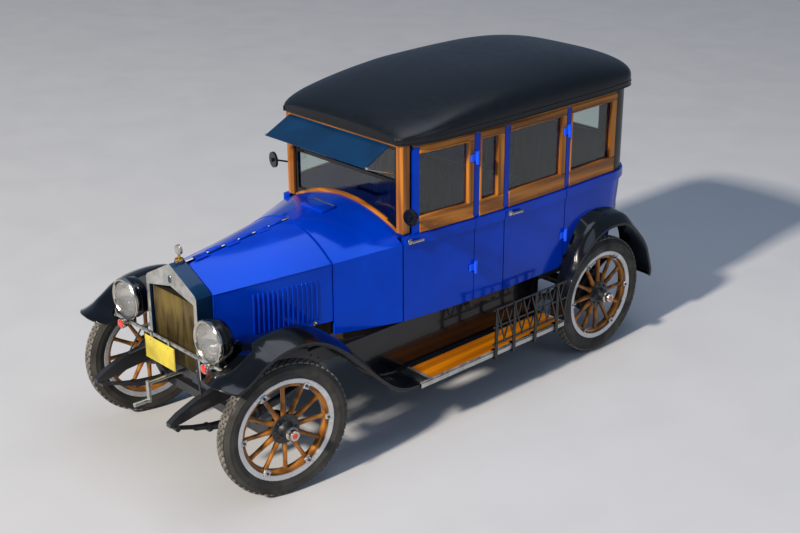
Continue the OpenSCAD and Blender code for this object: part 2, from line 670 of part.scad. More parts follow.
front_path = [[-1872, 790], [-1800, 800], [-1705, 826], [-1590, 888], [-1560, 901], [-1525, 914],
  [-1450, 935], [-1340, 942], [-1230, 926], [-1110, 872], [-970, 768], [-830, 628], [-700, 500],
  [-600, 418], [-500, 376], [-400, 364]];
rear_path = [[968, 372], [966, 470], [989, 560], [1026, 640], [1061, 690], [1100, 742], [1165, 806],
  [1288, 890], [1419, 930], [1556, 926], [1652, 888], [1754, 800], [1842, 694], [1893, 576],
  [1926, 470], [1918, 424]];
function normal(p, i) = let (a = p[max(i - 1, 0)], b = p[min(i + 1, len(p) - 1)], d = b - a)
  [-d[1], d[0]] / norm(d);
// one cross section: lip, crown, inner edge at xi; b is the height of the crown, e of the inner edge
function wing_row(p, i, b, e, xi, t, yn = 0) = let (c = p[i], n = normal(p, i))
  [for (s = [-1, 0, 0.12, 0.3, 0.5, 0.75, 1])
    let (x = s < 0 ? 790 - t : 790 - t - s * (790 - xi - t),
      h = s < 0 ? -16 : (s <= 0.5 ? b * sin(180 * s) : mix(b, e, (s - 0.5) * 2)) - t)
    [x, c[0] + n[0] * h + (yn > 0 && i < 3
      ? yn * [1, 0.6, 0.25][i] * (0.35 + pow((x - 640) / 150, 2)) : 0), c[1] + n[1] * h]];
function front_b(y) = lookup(y, [[-1872, 26], [-1700, 52], [-1100, 50], [-700, 24], [-400, 8]]);
function front_e(y) = lookup(y, [[-1872, -4], [-1700, 14], [-1560, 4], [-1450, -28], [-1340, -40],
  [-1230, -40], [-1110, -16], [-1000, 0], [-700, 8], [-400, 4]]);
function front_x(y) = lookup(y, [[-1872, 500], [-1800, 470], [-1720, 562], [-1560, 562], [-1525, 446],
  [-1100, 446], [-985, 560], [-400, 572]]);
function rear_b(y) = lookup(y, [[1061, 6], [1100, 14], [1165, 40], [1300, 72], [1600, 60], [1850, 34],
  [1926, 20]]);
function rear_e(y) = lookup(y, [[1061, 4], [1100, 14], [1165, 50], [1300, 118], [1450, 96], [1650, 62],
  [1850, 36], [1926, 16]]);
function rear_x(y) = lookup(y, [[968, 668], [1092, 668], [1120, 664], [1400, 659], [1587, 657], [1640, 641],
  [1700, 608], [1754, 562], [1800, 520], [1926, 500]]);

// outer edge of the apron and the side of the bonnet above it
function apron_x(y) = mix(262, 419, (y - bon_a) / (bon_b - bon_a));
function edge(y) = lookup(y, [[-1525, 907], [-1450, 906], [-1340, 901], [-1242, 887], [-1118, 857],
  [-1040, 812], [-970, 788]]);
// one section of the apron, hollowed so that the opening bonnet passes over it; t is the thickness
function apron_row(y, t) = let (a = min(apron_x(y) + 10, 444), e = edge(y)) [[445.5, y, e - t],
  [(445.5 + a) / 2, y, 786 + 0.28 * (e - 786) - t], [a + t / 4, y, 786 - t], [402 + t, y, 700],
  [402 + t, y, 645]];

function front_rows(t) = [for (i = [0 : len(front_path) - 1]) let (y = front_path[i][0])
  wing_row(front_path, i, front_b(y), front_e(y), front_x(y), t, 62)];
function rear_rows(t) = [for (i = [0 : len(rear_path) - 1]) let (y = rear_path[i][0])
  wing_row(rear_path, i, rear_b(y), rear_e(y), rear_x(y), t)];

module front_wings() color(black) both() {
  sheet(front_rows(0), front_rows(8));
  // apron between the wing and the bonnet
  ys = [-1525, -1450, -1340, -1230, -1110, -1040, -970];
  sheet([for (y = ys) apron_row(y, 0)], [for (y = ys) apron_row(y, 8)]);
}

module rear_wings() color(black) both() sheet(rear_rows(0), rear_rows(8));

module running_boards() color(black) both() {
  box([576, -392, 334], [796, 956, 368]);
  // apron below the body, cut out round the sills
  side_plate([[-930, 690], [224, 690], [224, 635], [484, 635], [484, 690], [956, 690], [956, 368],
    [-392, 368], [-540, 380], [-660, 450], [-800, 590]], 548, 556);
  box([548, -392, 334], [577, 956, 376]);
  for (y = [-250, 300, 800]) box([462.3, y, 545], [547.7, y + 40, 570]);
}

module headlamps() color(nickel) both() {
  rod_y(131, 419, -1706, -1684, 950);
  rod_y(124, 419, -1686, -1590, 950);
  rod_y(96, 419, -1592, -1568, 950);
  rod_y(13, 419, -1690, -1630, 800);
  translate([419, -1640, 790]) cylinder(r = 14, h = 50);
  rod_x(12, -1, 560, -1680, 800);
  rod_y(32, 424, -1752, -1700, 800);
  rod_y(12, 424, -1702, -1678, 800);
  translate([419, -1680, 782]) cylinder(r = 24, h = 36);
  box([552, -1690, 790], [561.5, -1670, 846]);
  rod_x(10, 252.4, 300, -1620, 800);
  box([290, -1682, 792], [310, -1610, 808]);
}

module luggage_rack() color(black) {
  for (y = [260, 430, 640, 855]) {
    box([800, y, 320], [808, y + 26, 676]);
    box([770, y, 320], [802, y + 26, 333.5]);
    box([770, y, 369], [802, y + 26, 380]);
  }
  for (z = [420, 540, 660]) box([801, 240, z], [806, 960, z + 14]);
  for (i = [0 : 7]) {
    y = 262 + 84 * i;
    side_plate([[y, 424], [y + 12, 424], [y + 96, 664], [y + 84, 664]], 796, 801);
    side_plate([[y + 84, 424], [y + 96, 424], [y + 12, 664], [y, 664]], 806, 811);
  }
}

// ---------- the whole car, one line per node ----------
chassis_frame();
leaf_springs();
front_axle();
rear_axle();
engine_block();
driveline();
exhaust();
fuel_tank();
starting_crank();
radiator_shell();
radiator_core();
bonnet_left();
bonnet_right();
cowl();
body_posts();
rear_body();
floor_pan();
roof();
sun_visor();
windscreen_frame();
wood_pillars();
fixed_glass();
door_front_left();
door_front_right();
door_rear_left();
door_rear_right();
glass_front_left();
glass_front_right();
glass_rear_left();
glass_rear_right();
front_seat();
rear_seat();
steering_column();
steering_wheel();
front_wings();
rear_wings();
running_boards();
headlamps();
luggage_rack();
knuckle_left();
knuckle_right();
tie_rod();
wheel_front_left();
wheel_front_right();
wheel_rear_left();
wheel_rear_right();
tyre_front_left();
tyre_front_right();
tyre_rear_left();
tyre_rear_right();
spare_tyre();
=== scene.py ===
"""Looks of a closed touring car of the 1920s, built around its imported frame.

The front faces -Y, the left side is +X and the ground is Z = 0. Sizes are in metres unless a name ends in _mm.
"""

from __future__ import annotations

import json
import logging
import math
from dataclasses import dataclass
from enum import Enum
from typing import Callable, Iterable, Sequence

import bmesh
import bpy
from mathutils import Matrix, Vector

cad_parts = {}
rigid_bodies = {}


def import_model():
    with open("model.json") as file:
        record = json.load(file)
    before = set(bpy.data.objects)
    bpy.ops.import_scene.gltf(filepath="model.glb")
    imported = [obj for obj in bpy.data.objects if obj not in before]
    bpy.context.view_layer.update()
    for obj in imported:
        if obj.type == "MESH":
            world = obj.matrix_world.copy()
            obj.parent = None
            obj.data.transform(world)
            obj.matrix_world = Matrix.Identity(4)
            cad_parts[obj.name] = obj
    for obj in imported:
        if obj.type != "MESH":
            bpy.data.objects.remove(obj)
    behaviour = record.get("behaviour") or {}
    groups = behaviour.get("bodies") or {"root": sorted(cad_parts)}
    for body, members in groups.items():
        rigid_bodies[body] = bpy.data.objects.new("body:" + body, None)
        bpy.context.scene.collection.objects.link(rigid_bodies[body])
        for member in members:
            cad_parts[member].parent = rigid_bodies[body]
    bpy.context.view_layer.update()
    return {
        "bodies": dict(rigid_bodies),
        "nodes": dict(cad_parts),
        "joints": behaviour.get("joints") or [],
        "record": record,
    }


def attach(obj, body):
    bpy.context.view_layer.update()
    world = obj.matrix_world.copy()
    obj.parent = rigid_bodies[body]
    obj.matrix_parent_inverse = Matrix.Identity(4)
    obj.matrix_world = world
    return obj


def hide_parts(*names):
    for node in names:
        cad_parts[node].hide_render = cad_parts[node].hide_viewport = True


log = logging.getLogger("touring_car")
Point = Sequence[float]
Rows = list[list[Vector]]
LEFT, RIGHT = 1, -1


# ---------- finishes ----------


def linear(code: str) -> tuple[float, float, float, float]:
    """Turns an sRGB hex colour into linear RGBA.

    Args:
        code: six hex digits with a leading #.

    Returns:
        The linear colour with an alpha of 1.
    """
    parts = [int(code[i : i + 2], 16) / 255 for i in (1, 3, 5)]
    low = [c / 12.92 if c <= 0.04045 else ((c + 0.055) / 1.055) ** 2.4 for c in parts]
    return (low[0], low[1], low[2], 1.0)


def add(tree: bpy.types.NodeTree, kind: str, settings: dict | None = None, **links: object) -> bpy.types.Node:
    """Adds one node with its settings, constant inputs and links.

    Args:
        tree: the tree that gets the node.
        kind: the node's type name.
        settings: properties of the node, by name.
        **links: an input by name, with _ for a space, or by number as i0, i1; a socket is linked, a value is set.

    Returns:
        The new node.
    """
    node = tree.nodes.new(kind)
    for key, value in (settings or {}).items():
        setattr(node, key, value)
    for key, value in links.items():
        number = key[0] == "i" and key[1:].isdigit()
        socket = node.inputs[int(key[1:]) if number else key.replace("_", " ")]
        if isinstance(value, bpy.types.NodeSocket):
            tree.links.new(value, socket)
        else:
            socket.default_value = value
    return node


class Pattern(Enum):
    """How the surface of a finish varies."""

    ENAMEL = "enamel"
    GRAIN = "grain"
    LEATHER = "leather"
    METAL = "metal"
    RUBBER = "rubber"
    FLUTED = "fluted"
    CLEAR = "clear"


@dataclass(frozen=True)
class Finish:
    """One real material: its colours, gloss and the size of its pattern."""

    name: str
    slot: str
    colour: str
    second: str
    pattern: Pattern
    size_mm: float
    roughness: float
    metallic: float = 0.0
    ior: float = 1.5
    coat: float = 0.0
    coat_roughness: float = 0.04
    bump_mm: float = 0.1
    along: tuple[float, float, float] = (1.0, 1.0, 1.0)
    clear: float = 0.0
    glow: float = 0.0
    tint: str = "#ffffff"

    def material(self) -> bpy.types.Material:
        """Builds the material once and returns it."""
        found = bpy.data.materials.get(self.name)
        if found:
            return found
        made = bpy.data.materials.new(self.name)
        made.use_nodes = True
        made.diffuse_color = linear(self.colour)
        tree = made.node_tree
        tree.nodes.clear()
        place = add(tree, "ShaderNodeTexCoord").outputs["Object"]
        shader = add(
            tree,
            "ShaderNodeBsdfPrincipled",
            Base_Color=linear(self.colour),
            Metallic=self.metallic,
            Roughness=self.roughness,
            IOR=self.ior,
            Coat_Weight=self.coat,
            Coat_Roughness=self.coat_roughness,
            Transmission_Weight=self.clear,
            Specular_Tint=linear(self.tint),
        )
        if self.glow:
            shader.inputs["Emission Color"].default_value = linear(self.colour)
            shader.inputs["Emission Strength"].default_value = self.glow
        add(tree, "ShaderNodeOutputMaterial", Surface=shader.outputs[0])
        self._dress(tree, place, shader)
        return made

    def _dress(self, tree: bpy.types.NodeTree, place: bpy.types.NodeSocket, shader: bpy.types.Node) -> None:
        """Adds the pattern's colour, gloss and relief.

        Args:
            tree: the material's tree.
            place: Object coordinates.
            shader: the surface shader.
        """
        per_m = 1000.0 / self.size_mm
        spot = add(tree, "ShaderNodeMapping", Vector=place, Scale=self.along).outputs[0]
        fine = add(tree, "ShaderNodeTexNoise", Vector=spot, Scale=per_m, Detail=4.0, Roughness=0.6)
        broad = add(tree, "ShaderNodeTexNoise", Vector=spot, Scale=per_m / 9, Detail=3.0, Distortion=0.6)
        height = fine.outputs["Fac"]
        share = broad.outputs["Fac"]
        if self.pattern is Pattern.GRAIN:
            rings = add(
                tree, "ShaderNodeTexWave", {"wave_type": "BANDS", "bands_direction": "DIAGONAL"}, Vector=spot,
                Scale=per_m / 22, Distortion=9.0, Detail=3.0, Detail_Scale=1.6,
            )
            share = add(
                tree, "ShaderNodeMix", {"data_type": "FLOAT"}, Factor=0.45, i2=rings.outputs["Fac"],
                i3=fine.outputs["Fac"],
            ).outputs[0]
        if self.pattern is Pattern.LEATHER:
            cells = add(tree, "ShaderNodeTexVoronoi", {"feature": "SMOOTH_F1"}, Vector=spot, Scale=per_m)
            height = add(
                tree, "ShaderNodeMix", {"data_type": "FLOAT"}, Factor=0.3, i2=cells.outputs["Distance"],
                i3=fine.outputs["Fac"],
            ).outputs[0]
        if self.pattern is Pattern.FLUTED:
            bars = add(
                tree, "ShaderNodeTexWave", {"wave_type": "BANDS", "bands_direction": "X", "wave_profile": "SIN"},
                Vector=place, Scale=per_m * 0.31, Distortion=0.0,
            )
            height = bars.outputs["Fac"]
            share = bars.outputs["Fac"]
        ramp = add(tree, "ShaderNodeValToRGB", Fac=share)
        narrow = self.pattern in (Pattern.GRAIN, Pattern.FLUTED)
        ramp.color_ramp.elements[0].position = 0.22 if narrow else 0.34
        ramp.color_ramp.elements[1].position = 0.78 if narrow else 0.66
        ramp.color_ramp.elements[0].color = linear(self.second)
        ramp.color_ramp.elements[1].color = linear(self.colour)
        tree.links.new(ramp.outputs[0], shader.inputs["Base Color"])
        spread = 0.04 if self.pattern in (Pattern.ENAMEL, Pattern.CLEAR, Pattern.LEATHER) else 0.16
        gloss = add(
            tree, "ShaderNodeMapRange", Value=broad.outputs["Fac"], From_Min=0.3, From_Max=0.7,
            To_Min=max(0.02, self.roughness - spread), To_Max=min(1.0, self.roughness + spread),
        )
        tree.links.new(gloss.outputs[0], shader.inputs["Roughness"])
        if self.bump_mm:
            relief = add(
                tree, "ShaderNodeBump", Height=height, Distance=self.bump_mm / 1000, Strength=0.8,
            )
            tree.links.new(relief.outputs[0], shader.inputs["Normal"])
            if self.coat and self.pattern is not Pattern.ENAMEL:
                soft = add(tree, "ShaderNodeBump", Height=height, Distance=self.bump_mm / 4000, Strength=0.5)
                tree.links.new(soft.outputs[0], shader.inputs["Coat Normal"])


# Royal blue coach enamel, brushed and varnished: deep colour under a clear, slightly wavy gloss
BLUE = Finish("coach_enamel_blue", "blue_enamel", "#0036b8", "#002ea6", Pattern.ENAMEL, 40, 0.16, ior=1.9, coat=0.12,
              bump_mm=0.02, tint="#1478ff")
# The same enamel on the hinge blocks, a shade lighter: a painted highlight where they stand out into the light
HINGE_HIGHLIGHT_BLUE = Finish("coach_enamel_hinge_painted_highlight", "blue_enamel", "#1c57ee", "#174de0", Pattern.ENAMEL, 30, 0.3, coat=0.2,
                    tint="#3c8cff")
# Dark blue enamel of the visor and the radiator's sides
NAVY = Finish("coach_enamel_navy", "visor_enamel", "#062c4e", "#05233f", Pattern.ENAMEL, 40, 0.25, coat=0.3,
              bump_mm=0.03, tint="#4a90d0")
# Black stove enamel, dipped and baked: mirror gloss with a little orange peel
BLACK = Finish("stove_enamel_black", "black_enamel", "#05070a", "#080b10", Pattern.ENAMEL, 30, 0.2, ior=1.35,
               coat=0.35, coat_roughness=0.03, bump_mm=0.02)
# Chassis black, brushed on over forgings: duller, with road dust
CHASSIS = Finish("brushed_chassis_black", "black_enamel", "#14161a", "#24252a", Pattern.ENAMEL, 22, 0.45, coat=0.3,
                 bump_mm=0.2)
# Grey cast iron, sand cast: rough skin
IRON = Finish("cast_iron", "cast_engine", "#5a5e60", "#3f4344", Pattern.METAL, 4, 0.6, metallic=0.6, bump_mm=0.4)
# Steel pipe, heat tinted brown
PIPE = Finish("heated_steel_pipe", "pipe_steel", "#6b5d52", "#4a3f38", Pattern.METAL, 12, 0.5, metallic=0.9)
# Nickel plate, polished: warm white metal
NICKEL = Finish("polished_nickel", "nickel", "#d8d2c6", "#c6bfb2", Pattern.METAL, 20, 0.16, metallic=1.0,
                bump_mm=0.01)
# Nickel that has dulled in the weather: pale and soft
DULL_NICKEL = Finish("weathered_nickel", "nickel", "#c9c9c6", "#aaa9a4", Pattern.METAL, 6, 0.36, metallic=0.9)
# Bright steel rims, painted silver
SILVER = Finish("silver_paint_rim", "nickel", "#d9dadb", "#bcbdbf", Pattern.METAL, 10, 0.3, metallic=0.75)
# Brass fins, tarnished brown between bright edges; the pitch is drawn coarse so that it shows
BRASS_FIN = Finish("tarnished_brass_fins", "core_brass", "#6f5f34", "#3a3020", Pattern.METAL, 5, 0.5, metallic=0.7,
                   along=(1.0, 1.0, 0.1))
# Painted shade: the core block behind the fins is dark brown for the shade deep in the core's passages
CORE_PASSAGE_SHADE = Finish("core_passages_painted_shade", "core_brass", "#1d1811", "#2b2418", Pattern.METAL, 4, 0.8, metallic=0.3)
# Polished brass of the cap's instrument ring
BRASS = Finish("polished_brass", "core_brass", "#d7a441", "#b8862c", Pattern.METAL, 10, 0.25, metallic=1.0)
# Varnished ash, planed: orange brown with dark bands along the rail, under thick gloss
WOOD_Y = Finish("varnished_ash_lengthwise", "varnished_wood", "#b06c20", "#74400f", Pattern.GRAIN, 9, 0.35, coat=0.4,
                along=(1.0, 0.05, 1.0), bump_mm=0.15, tint="#ffc070")
WOOD_X = Finish("varnished_ash_crosswise", "varnished_wood", "#b06c20", "#784412", Pattern.GRAIN, 9, 0.35, coat=0.4,
                along=(0.05, 1.0, 1.0), bump_mm=0.15, tint="#ffc070")
WOOD_Z = Finish("varnished_ash_upright", "varnished_wood", "#b87326", "#7c4612", Pattern.GRAIN, 9, 0.35, coat=0.4,
                along=(1.0, 1.0, 0.05), bump_mm=0.15, tint="#ffc070")
# Varnished pine planks of the running boards: yellow orange, worn to a soft gloss
WOOD_STEP = Finish("varnished_pine_step", "varnished_wood", "#b56d07", "#8a4c05", Pattern.GRAIN, 9, 0.4, coat=0.15,
                   along=(1.0, 0.05, 1.0), bump_mm=0.15, tint="#ffb040")
# Varnished hickory of the spokes, turned: even honey brown
HICKORY = Finish("varnished_hickory", "varnished_wood", "#a86a24", "#70400f", Pattern.GRAIN, 12, 0.3, coat=0.5,
                 bump_mm=0.1, tint="#ffc070")
# Plain deal boards inside, oiled dark
BOARDS = Finish("oiled_floor_boards", "floor_boards", "#4b3a2a", "#33271c", Pattern.GRAIN, 12, 0.7,
                along=(1.0, 0.06, 1.0))
# Dark rim wood, turned and lacquered
RIM_WOOD = Finish("lacquered_rim_wood", "rim_wood", "#3a2110", "#23140a", Pattern.GRAIN, 14, 0.25, coat=0.9)
# Plate glass, rolled: clear with a faint grey green body
GLASS = Finish("plate_glass", "window_glass", "#e3ece9", "#dde8e5", Pattern.CLEAR, 200, 0.02, ior=1.5, bump_mm=0.0,
               clear=1.0)
# Fluted lamp glass, pressed: vertical bars that break up the reflector; drawn at 12 mm
LAMP_GLASS = Finish("fluted_lamp_glass", "window_glass", "#f4f2ee", "#e6e4df", Pattern.FLUTED, 12, 0.05, ior=1.45,
                    bump_mm=0.6, clear=0.92)
MIRROR = Finish("silvered_mirror", "nickel", "#e8ebee", "#e2e5e8", Pattern.METAL, 50, 0.05, metallic=1.0, bump_mm=0)
# Pressed red glass of the signal lamps, also on the tail lamp and the hub-cap centres, with a faint painted glow of its
# own colour even where there is no lamp
RED_GLOW_GLASS = Finish("red_glass_painted_glow", "window_glass", "#e03018", "#c22410", Pattern.LEATHER, 6, 0.12, coat=1.0,
                   bump_mm=0.5, glow=0.08)
# Button-grain hide, dyed black: soft sheen, pebbles drawn at 5 mm
HIDE = Finish("black_hide", "leather", "#1b1b1d", "#101012", Pattern.LEATHER, 5, 0.42, ior=1.45, bump_mm=0.5)
# Rubberised leather cloth of the top, stretched: fine pebble grain drawn at 7 mm, satin black
TOP_CLOTH = Finish("rubberised_leather_cloth", "top_cloth", "#070a10", "#05080d", Pattern.LEATHER, 7, 0.36, ior=1.4,
                   bump_mm=0.12, coat=0.1, coat_roughness=0.3)
# Tyre rubber, moulded: matte with grey dust
RUBBER = Finish("moulded_tyre_rubber", "tyre_rubber", "#23221f", "#35332f", Pattern.RUBBER, 14, 0.75, bump_mm=0.2)
TREAD = Finish("worn_tread_rubber", "tyre_rubber", "#77736c", "#4c4944", Pattern.RUBBER, 14, 0.85, bump_mm=0.3)
# Blank pressed plate, enamelled yellow and weathered
PLATE = Finish("yellow_plate_enamel", "visor_enamel", "#c9b53a", "#a89a3c", Pattern.ENAMEL, 15, 0.45, bump_mm=0.2)
# Aluminium moulding, rolled: pale and soft
ALUMINIUM = Finish("rolled_aluminium", "nickel", "#c8c8c6", "#a9a8a4", Pattern.METAL, 8, 0.38, metallic=0.85)
# Wool carpet, cut pile, brown
CARPET = Finish("wool_carpet", "floor_boards", "#4a3527", "#33241a", Pattern.RUBBER, 4, 0.95, bump_mm=1.0)
# Cream dial cards
DIAL = Finish("cream_dial_card", "nickel", "#e8dfc4", "#dcd2b4", Pattern.ENAMEL, 20, 0.5)
# Smooth pale studio floor
FLOOR = Finish("pale_studio_floor", "nickel", "#bdbec1", "#bbbcbf", Pattern.RUBBER, 60, 0.9, bump_mm=0.0)


# ---------- building meshes ----------


def lookup(at: float, table: Sequence[tuple[float, float]]) -> float:
    """Reads a value off a table of places and values, straight between them and held at the ends."""
    if at <= table[0][0]:
        return table[0][1]
    for (a, va), (b, vb) in zip(table, table[1:]):
        if at <= b:
            return va + (vb - va) * (at - a) / (b - a)
    return table[-1][1]


def smooth_lookup(at: float, table: Sequence[tuple[float, float]]) -> float:
    """Reads a value off a table along one smooth curve through its points."""
    xs = [p[0] for p in table]
    at = min(max(at, xs[0]), xs[-1])
    i = max(k for k in range(len(xs) - 1) if at >= xs[k])
    slope = []
    for k in (i, i + 1):
        a, b = max(k - 1, 0), min(k + 1, len(xs) - 1)
        slope.append((table[b][1] - table[a][1]) / (xs[b] - xs[a]))
    h = xs[i + 1] - xs[i]
    t = (at - xs[i]) / h
    return (
        (2 * t**3 - 3 * t**2 + 1) * table[i][1] + (t**3 - 2 * t**2 + t) * h * slope[0]
        + (3 * t**2 - 2 * t**3) * table[i + 1][1] + (t**3 - t**2) * h * slope[1]
    )


class Work:
    """A mesh being made. Every method adds a closed shape, and part() says which finish it gets."""

    def __init__(self) -> None:
        """Starts an empty mesh."""
        self.bm = bmesh.new()
        self.finish_index = 0

    def part(self, index: int) -> "Work":
        """Gives what is added next the finish of that index."""
        self.finish_index = index
        return self

    def _own(self, faces: Iterable[bmesh.types.BMFace]) -> None:
        """Gives new faces the current finish."""
        for face in faces:
            face.material_index = self.finish_index
            face.smooth = True

    def loft(self, rows: Rows, ring: bool = False, ends: bool = True) -> "Work":
        """Joins rows of points by quads.

        Args:
            rows: equal rows of points.
            ring: whether each row closes on itself.
            ends: whether ring rows are capped at both ends.
        """
        grid = [[self.bm.verts.new(p) for p in row] for row in rows]
        faces = []
        count = len(rows[0])
        for a, b in zip(grid, grid[1:]):
            for k in range(count if ring else count - 1):
                n = (k + 1) % count
                faces.append(self.bm.faces.new((a[k], a[n], b[n], b[k])))
        if ring and ends:
            faces.append(self.bm.faces.new(grid[0][::-1]))
            faces.append(self.bm.faces.new(grid[-1]))
        self._own(faces)
        return self

    def shell(self, outer: Rows, inner: Rows) -> "Work":
        """Makes a closed sheet between two matching grids of points."""
        loops = [row + back[::-1] for row, back in zip(outer, inner)]
        return self.loft(loops, ring=True)

    def lathe(self, profile: Sequence[tuple[float, float]], at: Matrix, steps: int = 48,
              closed: bool = False) -> "Work":
        """Turns a profile of (radius, height) about the local Z axis of a place.

        Args:
            profile: points from one end of the shape to the other.
            at: the place of the axis.
            steps: sides of the circle.
            closed: whether the profile is a loop, as for a ring.
        """
        grid: list[list[bmesh.types.BMVert]] = []
        for r, z in profile:
            if r < 1e-6:
                grid.append([self.bm.verts.new(at @ Vector((0, 0, z)))])
                continue
            turn = [2 * math.pi * k / steps for k in range(steps)]
            grid.append([self.bm.verts.new(at @ Vector((r * math.cos(a), r * math.sin(a), z))) for a in turn])
        faces = []
        pairs = list(zip(grid, grid[1:])) + ([(grid[-1], grid[0])] if closed else [])
        for a, b in pairs:
            for k in range(steps):
                n = (k + 1) % steps
                if len(a) == 1 and len(b) == 1:
                    continue
                if len(a) == 1:
                    faces.append(self.bm.faces.new((a[0], b[n], b[k])))
                elif len(b) == 1:
                    faces.append(self.bm.faces.new((a[k], a[n], b[0])))
                else:
                    faces.append(self.bm.faces.new((a[k], a[n], b[n], b[k])))
        if not closed:
            for row, flip in ((grid[0], True), (grid[-1], False)):
                if len(row) > 1:
                    faces.append(self.bm.faces.new(row[::-1] if flip else row))
        self._own(faces)
        return self

    def tube(self, path: Sequence[Point], radius: float, sides: int = 10, closed: bool = False) -> "Work":
        """Runs a round bar along a path of points."""
        points = [Vector(p) for p in path]
        rows: Rows = []
        side = None
        for i, p in enumerate(points):
            if closed:
                ahead = (points[(i + 1) % len(points)] - points[i - 1]).normalized()
            else:
                ahead = (points[min(i + 1, len(points) - 1)] - points[max(i - 1, 0)]).normalized()
            if side is None:
                side = ahead.orthogonal().normalized()
            side = (side - ahead * side.dot(ahead)).normalized()
            up = ahead.cross(side)
            turn = [2 * math.pi * k / sides for k in range(sides)]
            rows.append([p + radius * (math.cos(a) * side + math.sin(a) * up) for a in turn])
        if closed:
            rows.append(rows[0])
        return self.loft(rows, ring=True, ends=not closed)

    def block(self, low: Point, high: Point, at: Matrix | None = None, bevel: float = 0.002) -> "Work":
        """Adds a bar with eased edges between two corners."""
        made = bmesh.ops.create_cube(self.bm, size=1.0)["verts"]
        a, b = Vector(low), Vector(high)
        for v in made:
            spot = Vector([a[i] + (b[i] - a[i]) * (v.co[i] + 0.5) for i in range(3)])
            v.co = at @ spot if at else spot
        edges = list({e for v in made for e in v.link_edges})
        if bevel:
            eased = min(bevel, 0.45 * min(b[i] - a[i] for i in range(3)))
            out = bmesh.ops.bevel(self.bm, geom=edges, offset=eased, segments=2, affect="EDGES", profile=0.5)
            self._own({f for v in out["verts"] for f in v.link_faces})
        else:
            self._own({f for v in made for f in v.link_faces})
        return self

    def prism(self, outline: Sequence[Point], low: float, high: float, at: Matrix) -> "Work":
        """Raises a flat outline from low to high along the local Z axis of a place."""
        rows = [[at @ Vector((p[0], p[1], z)) for p in outline] for z in (low, high)]
        return self.loft(rows, ring=True)

    def copy_of(self, node: str, sort: Callable[[Vector, Vector], int] | None = None) -> "Work":
        """Adds a merged copy of a CAD node.

        Args:
            node: its name.
            sort: gives each face's finish index from its centre and normal.
        """
        mesh = CAR["nodes"][node].data
        self.bm.from_mesh(mesh)
        for f in self.bm.faces:
            f.material_index = 0
        bmesh.ops.remove_doubles(self.bm, verts=self.bm.verts, dist=2e-5)
        bmesh.ops.dissolve_limit(
            self.bm, angle_limit=math.radians(0.4), verts=self.bm.verts, edges=self.bm.edges, delimit={"NORMAL"}
        )
        for f in self.bm.faces:
            f.smooth = True
            f.material_index = sort(f.calc_center_median(), f.normal) if sort else self.finish_index
        return self

    def weld(self) -> "Work":
        """Merges points that coincide and turns faces outwards."""
        bmesh.ops.remove_doubles(self.bm, verts=self.bm.verts, dist=1e-5)
        bmesh.ops.recalc_face_normals(self.bm, faces=self.bm.faces)
        return self


def deliver(
    name: str, work: Work, body: str, finishes: Sequence[Finish], sharp: float = 32.0, bevel_mm: float = 0.0,
    stands_for: Sequence[str] = (), weld: bool = True,
) -> bpy.types.Object:
    """Turns finished work into a piece of the car.

    Args:
        name: the piece's name.
        work: its mesh.
        body: the CAD body it moves with.
        finishes: its finishes, by face index.
        sharp: edges over this angle in degrees stay crisp.
        bevel_mm: width of the eased edges, 0 for none.
        stands_for: CAD nodes that it replaces.
        weld: whether to merge points and turn faces outwards first.

    Returns:
        The new object.
    """
    if weld:
        work.weld()
    for edge in work.bm.edges:
        if len(edge.link_faces) == 2:
            edge.smooth = edge.calc_face_angle(0.0) < math.radians(sharp)
    mesh = bpy.data.meshes.new(name)
    work.bm.to_mesh(mesh)
    work.bm.free()
    piece = bpy.data.objects.new(name, mesh)
    bpy.context.scene.collection.objects.link(piece)
    for finish in finishes:
        mesh.materials.append(finish.material())
    if bevel_mm:
        ease = piece.modifiers.new("eased_edges", "BEVEL")
        ease.width = bevel_mm / 1000
        ease.segments = 2
        ease.limit_method = "ANGLE"
        ease.angle_limit = math.radians(max(sharp, 35))
        ease.harden_normals = True
    return register(piece, body, finishes[0], stands_for)


def register(
    piece: bpy.types.Object, body: str, finish: Finish, stands_for: Sequence[str] = ()
) -> bpy.types.Object:
    """Lets a piece ride on its body and reports it."""
    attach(piece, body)
    if stands_for:
        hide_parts(*stands_for)
    log.info("%s on %s: %d faces", piece.name, body, len(piece.data.polygons))
    return piece


def along(a: Point, b: Point, start: Point | None = None) -> Matrix:
    """The place whose Z axis runs from a to b, with its origin at a or at start."""
    z = (Vector(b) - Vector(a)).normalized()
    return Matrix.Translation(Vector(start or a)) @ z.to_track_quat("Z", "Y").to_matrix().to_4x4()


# ---------- things that repeat ----------


